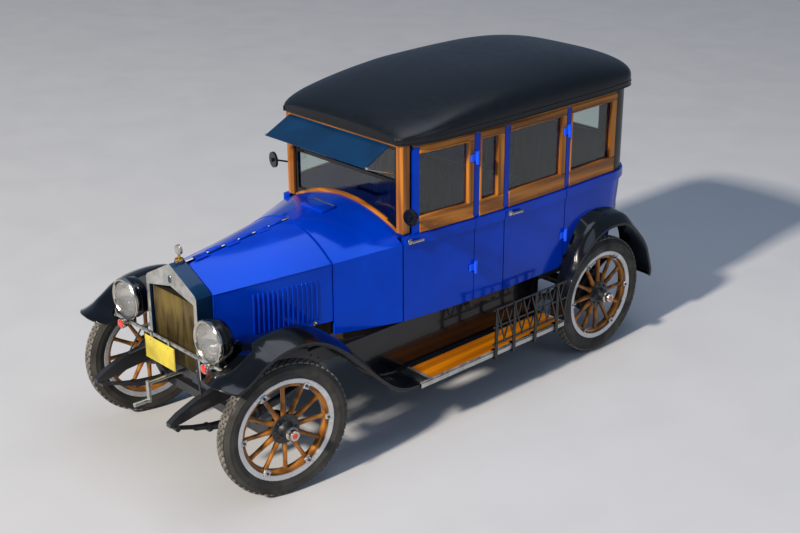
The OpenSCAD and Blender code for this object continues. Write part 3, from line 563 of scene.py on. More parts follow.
class Repeater:
    """A geometry nodes tree that sets one small shape on many points, each turned to face its own way."""

    def __init__(self, finish: Finish) -> None:
        """Builds the tree with its named inputs.

        Args:
            finish: what the repeated shapes are made of.
        """
        self.finish = finish
        tree = bpy.data.node_groups.new(f"repeat_{finish.name}", "GeometryNodeTree")
        face = tree.interface
        face.new_socket("Geometry", in_out="INPUT", socket_type="NodeSocketGeometry")
        shape = face.new_socket("Shape", in_out="INPUT", socket_type="NodeSocketObject")
        size = face.new_socket("Size", in_out="INPUT", socket_type="NodeSocketFloat")
        wobble = face.new_socket("Wobble", in_out="INPUT", socket_type="NodeSocketFloat")
        face.new_socket("Geometry", in_out="OUTPUT", socket_type="NodeSocketGeometry")
        self.shape_id, self.size_id, self.wobble_id = shape.identifier, size.identifier, wobble.identifier
        given = add(tree, "NodeGroupInput")
        facing = add(tree, "GeometryNodeInputNamedAttribute", {"data_type": "FLOAT_VECTOR"}, Name="facing")
        upward = add(tree, "GeometryNodeInputNamedAttribute", {"data_type": "FLOAT_VECTOR"}, Name="upward")
        turn = add(tree, "FunctionNodeAlignRotationToVector", {"axis": "Z"}, Vector=facing.outputs[0])
        turn = add(tree, "FunctionNodeAlignRotationToVector", {"axis": "Y", "pivot_axis": "Z"},
                   Rotation=turn.outputs[0], Vector=upward.outputs[0])
        spin = add(tree, "FunctionNodeRandomValue", {"data_type": "FLOAT"}, Seed=7, i2=-1.0, i3=1.0)
        spin = add(tree, "ShaderNodeMath", {"operation": "MULTIPLY"}, i0=spin.outputs[1], i1=given.outputs["Wobble"])
        own = add(tree, "FunctionNodeAxisAngleToRotation", Axis=(0.0, 0.0, 1.0), Angle=spin.outputs[0])
        turn = add(tree, "FunctionNodeRotateRotation", {"rotation_space": "LOCAL"}, i0=turn.outputs[0],
                   i1=own.outputs[0])
        shown = add(tree, "GeometryNodeObjectInfo", Object=given.outputs["Shape"])
        points = add(tree, "GeometryNodeMeshToPoints", Mesh=given.outputs["Geometry"])
        many = add(tree, "GeometryNodeInstanceOnPoints", Points=points.outputs[0], Instance=shown.outputs["Geometry"],
                   Rotation=turn.outputs[0], Scale=given.outputs["Size"])
        real = add(tree, "GeometryNodeRealizeInstances", Geometry=many.outputs[0])
        made = add(tree, "GeometryNodeSetMaterial", Geometry=real.outputs[0], Material=finish.material())
        add(tree, "NodeGroupOutput", i0=made.outputs[0])
        self.tree = tree

    def set_out(
        self, name: str, body: str, shape: Work, points: Sequence[tuple[Point, Point, Point]], size: float = 1.0,
        wobble: float = 0.0,
    ) -> bpy.types.Object:
        """Makes one piece of many shapes.

        Args:
            name: the piece's name.
            body: the CAD body it moves with.
            shape: the small shape, standing on its origin along +Z.
            points: the place, the way its Z faces and the way its Y points, for each.
            size: scale of every shape.
            wobble: largest random turn about each shape's own axis, in radians.

        Returns:
            The piece, a plain mesh.
        """
        pattern = bpy.data.meshes.new(f"{name}_shape")
        shape.weld().bm.to_mesh(pattern)
        shape.bm.free()
        model = bpy.data.objects.new(f"{name}_shape", pattern)
        cloud = bpy.data.meshes.new(f"{name}_points")
        cloud.from_pydata([tuple(p[0]) for p in points], [], [])
        for label, which in (("facing", 1), ("upward", 2)):
            values = cloud.attributes.new(label, "FLOAT_VECTOR", "POINT")
            values.data.foreach_set("vector", [c for p in points for c in p[which]])
        seed = bpy.data.objects.new(f"{name}_seed", cloud)
        for item in (model, seed):
            bpy.context.scene.collection.objects.link(item)
        live = seed.modifiers.new("repeat", "NODES")
        live.node_group = self.tree
        live[self.shape_id] = model
        live[self.size_id] = size
        live[self.wobble_id] = wobble
        bpy.context.view_layer.update()
        ready = seed.evaluated_get(bpy.context.evaluated_depsgraph_get())
        mesh = bpy.data.meshes.new_from_object(ready)
        mesh.name = name
        for label in ("facing", "upward"):
            if label in mesh.attributes:
                mesh.attributes.remove(mesh.attributes[label])
        for item in (seed, model):
            bpy.data.objects.remove(item)
        piece = bpy.data.objects.new(name, mesh)
        bpy.context.scene.collection.objects.link(piece)
        return register(piece, body, self.finish)


def dome(radius: float, height: float, steps: int = 8) -> Work:
    """A low round head, such as a rivet's."""
    profile = [(radius, -0.001), (radius, 0.0), (radius * 0.75, height * 0.7), (0.0, height)]
    return Work().lathe(profile, Matrix.Identity(4), steps)


def hexagon(radius: float, height: float) -> Work:
    """A hexagonal nut with a stub of its bolt."""
    work = Work().lathe([(radius, -0.001), (radius, height), (0.0, height)], Matrix.Identity(4), 6)
    return work.lathe([(radius * 0.5, height - 0.0005), (radius * 0.45, height * 1.5), (0.0, height * 1.5)],
                      Matrix.Identity(4), 8)


# ---------- the car's own lines ----------

BELT_Z, HEADER_Z, SILL_Z, BELT_OUT = 1.255, 1.812, 0.700, 0.012
BONNET_Y = (-1.534, -0.776)
COWL_Y = (-0.769, -0.340)
BODY_PLAN = ((-0.776, 0.420), (-0.560, 0.497), (-0.340, 0.573), (-0.100, 0.608), (0.200, 0.636), (0.480, 0.655),
             (0.800, 0.661), (1.200, 0.661), (1.400, 0.656), (1.475, 0.655))
TYRE_R, RIM_R, AXLE_Z, TRACK_X, KING_X, KING_IN, PARKED = 0.418, 0.318, 0.418, 0.711, 0.630, 0.081, -8.5
CAR: dict = {}
SIDES = ((LEFT, "left"), (RIGHT, "right"))


def half_width(y: float) -> float:
    """Half the body's width at the belt."""
    return lookup(y, BODY_PLAN)


def mix(a: float, b: float, t: float) -> float:
    """The value at share t between a and b."""
    return a + (b - a) * t


def arch(width: float, foot: float, crease: float, top: float, round_share: float,
         steps: int) -> list[tuple[float, float]]:
    """Half a section over a crease, from a straight gable (0) to a rounded arch (1)."""
    out = [(width, foot)]
    for i in range(steps + 1):
        s = i / steps
        out.append((width * (1 - s), mix(crease + (top - crease) * s, top - (top - crease) * (1 - s) ** 2,
                                         round_share)))
    return out


def side_rail(
    work: Work, y0: float, y1: float, z0: float, z1: float, d0: float, d1: float, side: int, ease: float = 0.003
) -> None:
    """Adds a rail that follows the body side, with eased outer edges.

    Args:
        work: the mesh that gets it.
        y0: front end.
        y1: rear end.
        z0: lower edge.
        z1: upper edge.
        d0: inner face, outside the body line.
        d1: outer face, outside the body line.
        side: LEFT or RIGHT.
        ease: size of the eased edges.
    """
    stops = [y0] + [y for y in (-0.1, 0.2, 0.48, 0.8, 1.2, 1.4) if y0 + 0.02 < y < y1 - 0.02] + [y1]
    rows = []
    for i, y in enumerate(stops):
        last = i in (0, len(stops) - 1)
        for pull in ((ease, 0.0) if i == 0 else (0.0, ease) if last else (0.0,)):
            shift = (ease if i == 0 else -ease) * (1 if pull == 0.0 and last else 0)
            x = half_width(y)
            out = d1 - pull
            yy = y + shift
            rows.append([
                Vector((side * (x + d0), yy, z0)), Vector((side * (x + out - ease), yy, z0)),
                Vector((side * (x + out), yy, z0 + ease)), Vector((side * (x + out), yy, z1 - ease)),
                Vector((side * (x + out - ease), yy, z1)), Vector((side * (x + d0), yy, z1)),
            ])
    work.loft(rows, ring=True)


def wheel_place(end: str, side: int) -> Matrix:
    """The place of a wheel, whose own +Z is the outward spin axis."""
    outward = Matrix.Rotation(math.pi / 2, 4, "Y")
    flip = Matrix.Diagonal((side, 1, 1, 1))
    if end == "front":
        return (
            Matrix.Translation((side * KING_X, -1.4, AXLE_Z)) @ Matrix.Rotation(math.radians(PARKED), 4, "Z") @ flip
            @ Matrix.Translation((KING_IN, 0, 0)) @ outward
        )
    return Matrix.Translation((side * TRACK_X, 1.4, AXLE_Z)) @ flip @ outward


# ---------- studio ----------


@dataclass
class Studio:
    """Pale floor, soft lights and the camera."""

    lens_mm: float = 62.09
    stand: tuple[float, float, float] = (6.253, -5.705, 4.274)
    azimuth: float = 46.75
    elevation: float = 22.29
    roll: float = -0.19

    def build(self) -> None:
        """Makes the floor, the world, the lights and the camera."""
        work = Work()
        work.loft([[Vector((x, y, -0.0045)) for x in (-30, 30)] for y in (30, -30)])
        mesh = bpy.data.meshes.new("studio_floor")
        work.bm.to_mesh(mesh)
        work.bm.free()
        mesh.materials.append(FLOOR.material())
        floor = bpy.data.objects.new("studio_floor", mesh)
        bpy.context.scene.collection.objects.link(floor)
        world = bpy.data.worlds.new("soft_room")
        world.use_nodes = True
        sky = world.node_tree.nodes["Background"]
        sky.inputs["Color"].default_value = linear("#9db6d6")
        sky.inputs["Strength"].default_value = 0.42
        bpy.context.scene.world = world
        self._light("key_softbox", (3.3, -33.0, 22.0), (0.0, 0.0, 0.6), 2.5, 24000, "#fff4e4")
        self._light("side_softbox", (8.0, 1.0, 5.0), (0.0, 0.0, 0.8), 4.5, 70, "#dfe9ff")
        self._light("top_softbox", (0.5, 0.5, 8.0), (0.0, 0.0, 0.0), 5.0, 160, "#eef3ff")
        data = bpy.data.cameras.new("view_camera")
        data.lens = self.lens_mm
        data.sensor_width = 36.0
        data.sensor_fit = "HORIZONTAL"
        data.clip_end = 200
        camera = bpy.data.objects.new("view_camera", data)
        bpy.context.scene.collection.objects.link(camera)
        az, el = math.radians(self.azimuth), math.radians(self.elevation)
        back = Vector((math.sin(az) * math.cos(el), -math.cos(az) * math.cos(el), math.sin(el)))
        turn = back.to_track_quat("Z", "Y").to_matrix().to_4x4() @ Matrix.Rotation(math.radians(self.roll), 4, "Z")
        camera.matrix_world = Matrix.Translation(self.stand) @ turn
        bpy.context.scene.camera = camera
        bpy.context.scene.view_settings.view_transform = "Standard"

    def _light(self, name: str, at: Point, to: Point, size: float, watts: float, colour: str) -> None:
        """Hangs one square soft light that points at a place."""
        data = bpy.data.lights.new(name, "AREA")
        data.size = size
        data.energy = watts
        data.color = linear(colour)[:3]
        lamp = bpy.data.objects.new(name, data)
        lamp.matrix_world = Matrix.Translation(at) @ (Vector(at) - Vector(to)).to_track_quat("Z",
                                                                                             "Y").to_matrix().to_4x4()
        bpy.context.scene.collection.objects.link(lamp)


# ---------- wheels ----------


@dataclass
class RoadWheel:
    """One wood-spoke wheel with its tyre."""

    end: str
    side: int
    spokes: int = 12
    blocks: int = 60

    def build(self) -> None:
        """Makes the spokes, steelwork, nuts, tyre and tread."""
        label = f"{self.end}_{'left' if self.side > 0 else 'right'}"
        place = wheel_place(self.end, self.side)
        body = f"wheel_{label}"
        steel = Work()
        self._steel(steel, place)
        deliver(f"wheel_steel_{label}", steel, body, (SILVER, CHASSIS, NICKEL, RED_GLOW_GLASS), 34)
        wood = Work()
        self._wood(wood, place)
        deliver(f"wheel_spokes_{label}", wood, body, (HICKORY,), 40, stands_for=(f"wheel_{label}",))
        bolts = []
        for i in range(8):
            a = 2 * math.pi * i / 8
            spot = place @ Vector((0.070 * math.cos(a), 0.070 * math.sin(a), 0.027))
            bolts.append((spot, place.to_3x3() @ Vector((0, 0, 1)), place.to_3x3()
                          @ Vector((math.cos(a), math.sin(a), 0))))
        for i in range(6):
            a = math.radians(60 * i + 30)
            spot = place @ Vector(((RIM_R - 0.040) * math.cos(a), (RIM_R - 0.040) * math.sin(a), 0.040))
            bolts.append((spot, place.to_3x3() @ Vector((0, 0, 1)), place.to_3x3()
                          @ Vector((math.cos(a), math.sin(a), 0))))
        NUTS.set_out(f"wheel_nuts_{label}", body, hexagon(0.0085, 0.007), bolts)
        Tyre(label, body, place, (f"tyre_{label}",)).build()

    def _steel(self, work: Work, place: Matrix) -> None:
        """Adds the rim, hub, cap and, at the rear, the drum."""
        r = RIM_R
        rim = [(r - 0.030, -0.036), (r - 0.004, -0.0425), (r, -0.041), (r - 0.001, -0.037), (r - 0.014, -0.033),
               (r - 0.020, -0.028), (r - 0.020, 0.028), (r - 0.014, 0.033), (r - 0.001, 0.037), (r, 0.041),
               (r - 0.004, 0.0425), (r - 0.030, 0.036), (r - 0.031, 0.030), (r - 0.026, 0.022), (r - 0.026, -0.022),
               (r - 0.031, -0.030)]
        work.part(0).lathe(rim, place, 72, closed=True)
        hub = [(0.021, -0.030), (0.050, -0.030), (0.052, -0.022), (0.088, -0.022), (0.090, -0.018), (0.088, -0.016),
               (0.055, -0.016), (0.052, 0.0), (0.055, 0.020), (0.090, 0.020), (0.092, 0.0235), (0.089, 0.027),
               (0.052, 0.028), (0.047, 0.036), (0.041, 0.044), (0.038, 0.060), (0.0385, 0.092), (0.034, 0.096),
               (0.021, 0.096)]
        work.part(1).lathe(hub, place, 40, closed=True)
        cap = [(0.040, 0.086), (0.0405, 0.096), (0.036, 0.100), (0.033, 0.104), (0.0325, 0.124), (0.029, 0.1305),
               (0.019, 0.132), (0.018, 0.1305), (0.0, 0.1305)]
        work.part(2).lathe([(0.0, 0.086)] + cap, place, 36)
        # the red centre of the cap carries a faint painted glow
        work.part(3).lathe([(0.0, 0.130), (0.017, 0.130), (0.016, 0.1322), (0.0, 0.1328)], place, 24)
        for i in range(6):
            at = place @ Matrix.Rotation(math.radians(60 * i + 30), 4, "Z")
            work.part(0).block((r - 0.054, -0.016, 0.024), (r - 0.026, 0.016, 0.040), at, 0.004)
        if self.end == "rear":
            drum = [(0.050, -0.036), (0.146, -0.034), (0.150, -0.040), (0.150, -0.078), (0.147, -0.082),
                    (0.139, -0.082), (0.138, -0.044), (0.050, -0.042)]
            work.part(1).lathe(drum, place, 56, closed=True)
            work.part(1).lathe([(0.030, -0.036), (0.070, -0.036), (0.070, -0.020), (0.030, -0.020)], place, 32,
                               closed=True)

    def _wood(self, work: Work, place: Matrix) -> None:
        """Adds the felloe and the spokes, each round with a swelling foot."""
        r = RIM_R
        felloe = [(r - 0.056, -0.013), (r - 0.052, -0.018), (r - 0.031, -0.021), (r - 0.0262, -0.021),
                  (r - 0.0262, 0.021), (r - 0.031, 0.023), (r - 0.052, 0.021), (r - 0.056, 0.016)]
        work.lathe(felloe, place, 72, closed=True)
        for i in range(self.spokes):
            at = place @ Matrix.Rotation(2 * math.pi * i / self.spokes, 4, "Z") @ Matrix.Rotation(math.pi / 2, 4, "Y")
            rows = []
            for out, wide, deep in ((0.046, 0.0205, 0.017), (0.085, 0.0215, 0.0185), (0.105, 0.017, 0.0175),
                                    (0.150, 0.0135, 0.0165), (0.220, 0.0125, 0.0145), (0.250, 0.014, 0.0150),
                                    (0.264, 0.017, 0.0155)):
                ring = [2 * math.pi * k / 14 for k in range(14)]
                rows.append([at @ Vector((deep * math.cos(a) - 0.002, wide * math.sin(a), out)) for a in ring])
            work.loft(rows, ring=True)


@dataclass
class Tyre:
    """A straight-sided tyre with ribbed walls and two rows of tread blocks."""

    label: str
    body: str
    place: Matrix
    stands_for: tuple[str, ...]
    blocks: int = 60

    def build(self) -> None:
        """Makes the casing and the tread."""
        r = TYRE_R
        half = [(0.2995, 0.0), (0.2995, 0.030), (0.309, 0.034), (0.319, 0.0375), (0.326, 0.0445), (0.331, 0.0452),
                (0.334, 0.0475), (0.345, 0.0515), (0.348, 0.0535), (0.351, 0.0532), (0.364, 0.0545), (0.376, 0.0535),
                (0.379, 0.0545), (0.382, 0.0520), (0.392, 0.0465), (0.400, 0.0400), (0.4035, 0.0365),
                (0.4045, 0.0330), (r - 0.009, 0.0300), (r - 0.0065, 0.0160), (r - 0.006, 0.0)]
        profile = half + [(a, -z) for a, z in half[-2:0:-1]]
        work = Work().lathe(profile, self.place, 112, closed=True)
        deliver(f"tyre_casing_{self.label}", work, self.body, (RUBBER,), 50, stands_for=self.stands_for)
        spots = []
        turn = self.place.to_3x3()
        for row, (z, r0) in enumerate(((-0.027, r - 0.010), (-0.009, r - 0.0075), (0.009, r - 0.0075),
                                       (0.027, r - 0.010))):
            for i in range(self.blocks):
                a = 2 * math.pi * (i + 0.5 * (row % 2)) / self.blocks
                out = Vector((math.cos(a), math.sin(a), 0))
                lean = 0.35 * (1 if z > 0 else -1) if abs(z) > 0.02 else 0.0
                facing = turn @ (out + Vector((0, 0, lean))).normalized()
                spots.append((self.place @ (out * r0 + Vector((0, 0, z))), facing, turn @ Vector((0, 0, 1))))
        block = Work().block((-0.0165, -0.0078, -0.002), (0.0165, 0.0078, 0.0072), bevel=0.0)
        TREADS.set_out(f"tyre_tread_{self.label}", self.body, block, spots)


@dataclass
class SpareWheel:
    """The spare tyre on its bare rim behind the body."""

    y: float = 1.918
    z: float = 0.850

    def build(self) -> None:
        """Makes the tyre and the rim."""
        place = Matrix.Translation((0, self.y, self.z)) @ Matrix.Rotation(-math.pi / 2, 4, "X")
        Tyre("spare", "car_body", place, ()).build()
        r = RIM_R
        rim = [(r - 0.028, -0.036), (r - 0.002, -0.042), (r, -0.040), (r - 0.001, -0.037), (r - 0.014, -0.033),
               (r - 0.020, -0.028), (r - 0.020, 0.028), (r - 0.014, 0.033), (r - 0.001, 0.037), (r, 0.040),
               (r - 0.002, 0.042), (r - 0.028, 0.036), (r - 0.026, 0.026), (r - 0.026, -0.026)]
        work = Work().lathe(rim, place, 64, closed=True)
        deliver("spare_rim", work, "car_body", (SILVER,), 34, stands_for=("spare_tyre",))


# ---------- wings ----------


@dataclass
class Wing:
    """One pressed wing with a rolled lip, lofted along its path."""

    name: str
    side: int
    path: tuple[tuple[float, float], ...]
    crown: tuple[tuple[float, float], ...]
    inner_rise: tuple[tuple[float, float], ...]
    inner_x: tuple[tuple[float, float], ...]
    nose: float = 0.0
    outer_x: float = 0.790
    gauge: float = 0.003
    steps: int = 84

    def centre(self, t: float) -> tuple[float, float]:
        """The path's (y, z) at share t of its length in stations."""
        table_y = tuple((i, p[0]) for i, p in enumerate(self.path))
        table_z = tuple((i, p[1]) for i, p in enumerate(self.path))
        at = t * (len(self.path) - 1)
        return smooth_lookup(at, table_y), smooth_lookup(at, table_z)

    def row(self, t: float, drop: float) -> list[Vector]:
        """One cross section from the lip to the inner edge, lowered by drop along the surface's normal."""
        y, z = self.centre(t)
        ya, za = self.centre(max(t - 0.01, 0))
        yb, zb = self.centre(min(t + 0.01, 1))
        size = math.hypot(yb - ya, zb - za)
        ny, nz = -(zb - za) / size, (yb - ya) / size
        b, e, xi = (lookup(y, table) for table in (self.crown, self.inner_rise, self.inner_x))
        out = []
        across = [-1.0, -0.5] + [0.5 * (1 - math.cos(math.pi * k / 22)) for k in range(12)] + [
            0.5 + 0.5 * k / 7 for k in range(1, 8)]
        for s in across:
            if s < 0:
                x, h = self.outer_x - drop, -0.016 * (-s)
            else:
                x = self.outer_x - drop - s * (self.outer_x - xi - drop)
                h = (b * math.sin(math.pi * s) if s <= 0.5 else mix(b, e, (s - 0.5) * 2)) - drop
            pull = 0.0
            if self.nose and t < 0.2:
                at = t * (len(self.path) - 1)
                share = lookup(at, ((0, 1.0), (1, 0.6), (2, 0.25), (3, 0.0)))
                pull = self.nose * share * (0.35 + ((x - 0.640) / 0.150) ** 2)
            out.append(Vector((self.side * x, y + ny * h + pull, z + nz * h)))
        return out

    def build(self) -> None:
        """Makes the pressing and its rolled bead."""
        spans = [i / self.steps for i in range(self.steps + 1)]
        outer = [self.row(t, 0.0) for t in spans]
        work = Work().shell(outer, [self.row(t, self.gauge) for t in spans])
        lip = [row[0] + Vector((-self.side * 0.0035, 0, 0)) for row in outer]
        front = [p + Vector((0, 0, -0.002)) for p in outer[0][2:]] if self.nose else []
        work.tube(lip[::-1] + front, 0.0048, 8)
        deliver(f"{self.name}_wing_{'left' if self.side > 0 else 'right'}", work, "car_body", (BLACK,), 50)


@dataclass
class WingSet:
    """The four wings and the aprons between the front wings and the bonnet."""

    front_path: tuple[tuple[float, float], ...] = (
        (-1.872, 0.790), (-1.800, 0.800), (-1.705, 0.826), (-1.590, 0.888), (-1.560, 0.901), (-1.525, 0.914),
        (-1.450, 0.935), (-1.340, 0.942), (-1.230, 0.926), (-1.110, 0.872), (-0.970, 0.768), (-0.830, 0.628),
        (-0.700, 0.500), (-0.600, 0.418),
        (-0.500, 0.376), (-0.400, 0.364))
    rear_path: tuple[tuple[float, float], ...] = (
        (0.968, 0.372), (0.966, 0.470), (0.989, 0.560), (1.026, 0.640), (1.061, 0.690), (1.100, 0.742),
        (1.165, 0.806), (1.288, 0.890),
        (1.419, 0.930), (1.556, 0.926), (1.652, 0.888), (1.754, 0.800), (1.842, 0.694), (1.893, 0.576),
        (1.926, 0.470), (1.918, 0.424))
    apron_edge: tuple[tuple[float, float], ...] = (
        (-1.525, 0.907), (-1.450, 0.906), (-1.340, 0.901), (-1.242, 0.887), (-1.118, 0.857), (-1.040, 0.812),
        (-0.970, 0.788))

    def build(self) -> None:
        """Makes all four wings and both aprons."""
        for side, label in SIDES:
            Wing("front", side, self.front_path,
                 ((-1.872, 0.026), (-1.700, 0.052), (-1.100, 0.050), (-0.700, 0.024), (-0.400, 0.008)),
                 ((-1.872, -0.004), (-1.700, 0.014), (-1.560, 0.004), (-1.450, -0.028), (-1.340, -0.040),
                  (-1.230, -0.040), (-1.110, -0.016), (-1.000, 0.0), (-0.700, 0.008), (-0.400, 0.004)),
                 ((-1.872, 0.500), (-1.800, 0.470), (-1.720, 0.562), (-1.560, 0.562), (-1.525, 0.446), (-1.100, 0.446),
                  (-0.985, 0.560), (-0.400, 0.572)), 0.062).build()
            Wing("rear", side, self.rear_path,
                 ((1.061, 0.006), (1.100, 0.014), (1.165, 0.040), (1.300, 0.072), (1.600, 0.060), (1.850, 0.034),
                  (1.926, 0.020)),
                 ((1.061, 0.004), (1.100, 0.014), (1.165, 0.050), (1.300, 0.118), (1.450, 0.096), (1.650, 0.062),
                  (1.850, 0.036), (1.926, 0.016)),
                 ((0.968, 0.668), (1.092, 0.668), (1.120, 0.664), (1.400, 0.659), (1.587, 0.657), (1.640, 0.641),
                  (1.700, 0.608), (1.754, 0.562), (1.800, 0.520), (1.926, 0.500))).build()
            ys = [mix(-1.525, -0.970, k / 30) for k in range(31)]
            rows = []
            for drop in (0.0, 0.004):
                rows.append([self._apron(side, y, drop) for y in ys])
            work = Work().shell(rows[0], rows[1])
            stands = ("front_wings", "rear_wings") if side == LEFT else ()
            deliver(f"wing_apron_{label}", work, "car_body", (BLACK,), 40, stands_for=stands)

    def _apron(self, side: int, y: float, drop: float) -> list[Vector]:
        """One hollow section of an apron, lowered by drop."""
        edge = smooth_lookup(y, self.apron_edge)
        near = min(mix(0.262, 0.419, (y - BONNET_Y[0]) / (BONNET_Y[1] - BONNET_Y[0])) + 0.010, 0.444)
        dish = [(near + (0.4455 - near) * s, 0.786 + (edge - 0.786) * (0.12 * s + 0.88 * s * s))
                for s in (1, 0.75, 0.5, 0.25, 0)]
        return [Vector((side * (x + drop / 4), y, z - drop)) for x, z in dish] + [
            Vector((side * (0.402 + drop), y, 0.700)), Vector((side * (0.402 + drop), y, 0.645))]


# ---------- nose and bonnet ----------


@dataclass
class Bonnet:
    """Both bonnet halves with louvres and hinges, and the cowl behind them."""

    louvres: int = 14

    def ring(self, y: float, drop: float) -> list[tuple[float, float]]:
        """Half the bonnet's section at y, lowered by drop."""
        t = (y - BONNET_Y[0]) / (BONNET_Y[1] - BONNET_Y[0])
        points = arch(mix(0.256, 0.419, t) - drop, 0.792, mix(1.138, 1.165, t) - 0.6 * drop,
                      mix(1.268, 1.340, t) + 0.002 - drop, mix(0.1, 1.0, t), 14)
        return [(max(x, 0.0185), z - (mix(0.009, 0.0, t) if x < 0.0185 else 0.0)) for x, z in points]

    def cowl_ring(self, y: float, drop: float) -> list[Vector]:
        """The cowl's whole section at y."""
        t = (y + 0.769) / 0.429
        half = arch(half_width(y) - drop, SILL_Z, mix(1.165, 1.215, t) - 0.6 * drop, mix(1.342, 1.375, t) - drop, 1.0,
                    16)
        return [Vector((x, y, z)) for x, z in half] + [Vector((-x, y, z)) for x, z in half[-2::-1]]

    def build(self) -> None:
        """Makes the bonnet halves, their louvres, hinge strips and fasteners, then the cowl."""
        ys = [mix(BONNET_Y[0], BONNET_Y[1], k / 20) for k in range(21)]
        for side, label in SIDES:
            body = f"bonnet_{label}"
            work = Work()
            work.shell([[Vector((side * x, y, z)) for x, z in self.ring(y, 0.0)] for y in ys],
                       [[Vector((side * x, y, z)) for x, z in self.ring(y, 0.004)] for y in ys])
            crease = [Vector((side * (self.ring(y, 0.0)[1][0] + 0.001), y, self.ring(y, 0.0)[1][1])) for y in ys]
            work.tube(crease, 0.0042, 8)
            foot = [Vector((side * (self.ring(y, 0.0)[0][0] - 0.001), y, 0.795)) for y in ys]
            work.tube(foot, 0.004, 8)
            for end in (0, -1):
                loop = [Vector((side * (x - 0.001), ys[end] + (0.004 if end == 0 else -0.004), z))
                        for x, z in self.ring(ys[end], 0.0)]
                work.tube(loop, 0.003, 6)
            self._barrels(work, side)
            deliver(f"bonnet_panel_{label}", work, body, (BLUE, NICKEL), 26, stands_for=(body,))
            self._louvres(side, label, body)
        work = Work()
        ys = [mix(COWL_Y[0], COWL_Y[1], k / 16) for k in range(17)]
        work.part(0).shell([self.cowl_ring(y, 0.0) for y in ys], [self.cowl_ring(y, 0.012) for y in ys])
        xs = [0.520 - 1.040 * k / 32 for k in range(33)]
        work.shell([[Vector((x, y, self.scuttle_z(x))) for x in xs] for y in (-0.3405, -0.256)],
                   [[Vector((x, y, self.scuttle_z(x) - 0.02)) for x in xs] for y in (-0.3405, -0.256)])
        work.tube([v + Vector((0, 0.004, 0)) for v in self.cowl_ring(ys[0], 0.001)], 0.0045, 8)
        tilt = Matrix.Translation((0, -0.525, 1.362)) @ Matrix.Rotation(math.radians(3), 4, "X")
        work.block((-0.105, -0.055, -0.012), (0.105, 0.055, 0.010), tilt, 0.006)
        work.part(1).tube([(-0.095, -0.470, 1.3745), (0.095, -0.470, 1.3745)], 0.005, 8)
        work.tube([(0, BONNET_Y[0] - 0.004, 1.2676), (0, BONNET_Y[1] + 0.010, 1.3406)], 0.0058, 10)
        work.block((-0.018, -0.770, 1.310), (0.018, -0.750, 1.344), bevel=0.003)
        work.part(2)
        base = [Vector((x, -0.292, self.scuttle_z(x) + 0.006)) for x in xs[1:-1]]
        work.loft([[p + Vector((0, -0.016, -0.006)), p + Vector((0, -0.014, 0.006)), p + Vector((0, -0.004, 0.013)),
                    p + Vector((0, 0.010, 0.013)), p + Vector((0, 0.012, -0.006))] for p in base], ring=True)
        deliver("cowl_panel", work, "car_body", (BLUE, NICKEL, WOOD_X), 26, stands_for=("cowl",))

    @staticmethod
    def scuttle_z(x: float) -> float:
        """Height of the scuttle under the windscreen."""
        return 1.375 - 0.487 * x * x

    def _barrels(self, work: Work, side: int) -> None:
        """Adds the hinge barrels of the top joint."""
        a, b = Vector((0, BONNET_Y[0], 1.268)), Vector((0, BONNET_Y[1], 1.340))
        ahead = (b - a).normalized()
        for k in range(3):
            start = 0.060 + 0.230 * k + (0.0 if side > 0 else 0.110)
            at = along(a, b, a + ahead * start)
            ring = [(0.0062, 0.0), (0.0115, 0.0), (0.012, 0.002), (0.012, 0.088), (0.0115, 0.090), (0.0062, 0.090)]
            work.part(0).lathe(ring, at, 20, closed=True)
            leaf = [a + ahead * (start + s) for s in (0.001, 0.089)]
            rows = [[p + Vector((side * 0.010, 0, 0.004)), p + Vector((side * 0.034, 0, 0.0 + 0.0015)),
                     p + Vector((side * 0.034, 0, -0.006)), p + Vector((side * 0.010, 0, -0.004))] for p in leaf]
            work.part(0).loft(rows, ring=True)

    def _louvres(self, side: int, label: str, body: str) -> None:
        """Presses the louvres into the bonnet side."""
        spots = []
        for i in range(self.louvres):
            y = mix(-1.285, -0.880, i / (self.louvres - 1))
            t = (y - BONNET_Y[0]) / (BONNET_Y[1] - BONNET_Y[0])
            out = Vector((side * 0.9776, -0.2103, 0))
            spots.append((Vector((side * mix(0.256, 0.419, t), y, 0.822)), (0, 0, 1), out))
        shape = Work()
        rows = []
        for z, grow in ((0.0, 0.1), (0.010, 0.75), (0.022, 1.0), (0.240, 1.0), (0.252, 0.75), (0.262, 0.1)):
            rows.append([Vector((side * x, y * grow, z)) for x, y in
                         ((-0.008, -0.002), (-0.005, 0.004), (0.002, 0.0085), (0.007, 0.0080), (0.008, 0.004),
                          (0.008, -0.002))])
        shape.loft(rows, ring=True)
        LOUVRES.set_out(f"bonnet_louvres_{label}", body, shape, spots)
        rivets = []
        for k in range(26):
            y = mix(BONNET_Y[0] + 0.02, BONNET_Y[1] - 0.02, k / 25)
            x, z = self.ring(y, 0.0)[1]
            rivets.append((Vector((side * x, y, z - 0.014)), (side * 0.98, -0.2, 0), (0, 0, 1)))
        BLUE_RIVETS.set_out(f"bonnet_rivets_{label}", body, dome(0.0035, 0.0016), rivets)
        catch = Work()
        for y in (-1.40, -0.90):
            t = (y - BONNET_Y[0]) / (BONNET_Y[1] - BONNET_Y[0])
            x = side * (mix(0.256, 0.419, t) + 0.004)
            at = Matrix.Translation((x, y, 0.806)) @ Matrix.Rotation(side * math.radians(-12), 4, "Z")
            catch.block((-0.004, -0.012, -0.010), (0.006, 0.012, 0.016), at, 0.003)
            catch.tube([at @ Vector((side * 0.008, -0.010, 0.010)), at @ Vector((side * 0.014, 0, 0.022)),
                        at @ Vector((side * 0.008, 0.010, 0.010))], 0.0025, 8)
        deliver(f"bonnet_catches_{label}", catch, body, (NICKEL,), 30)


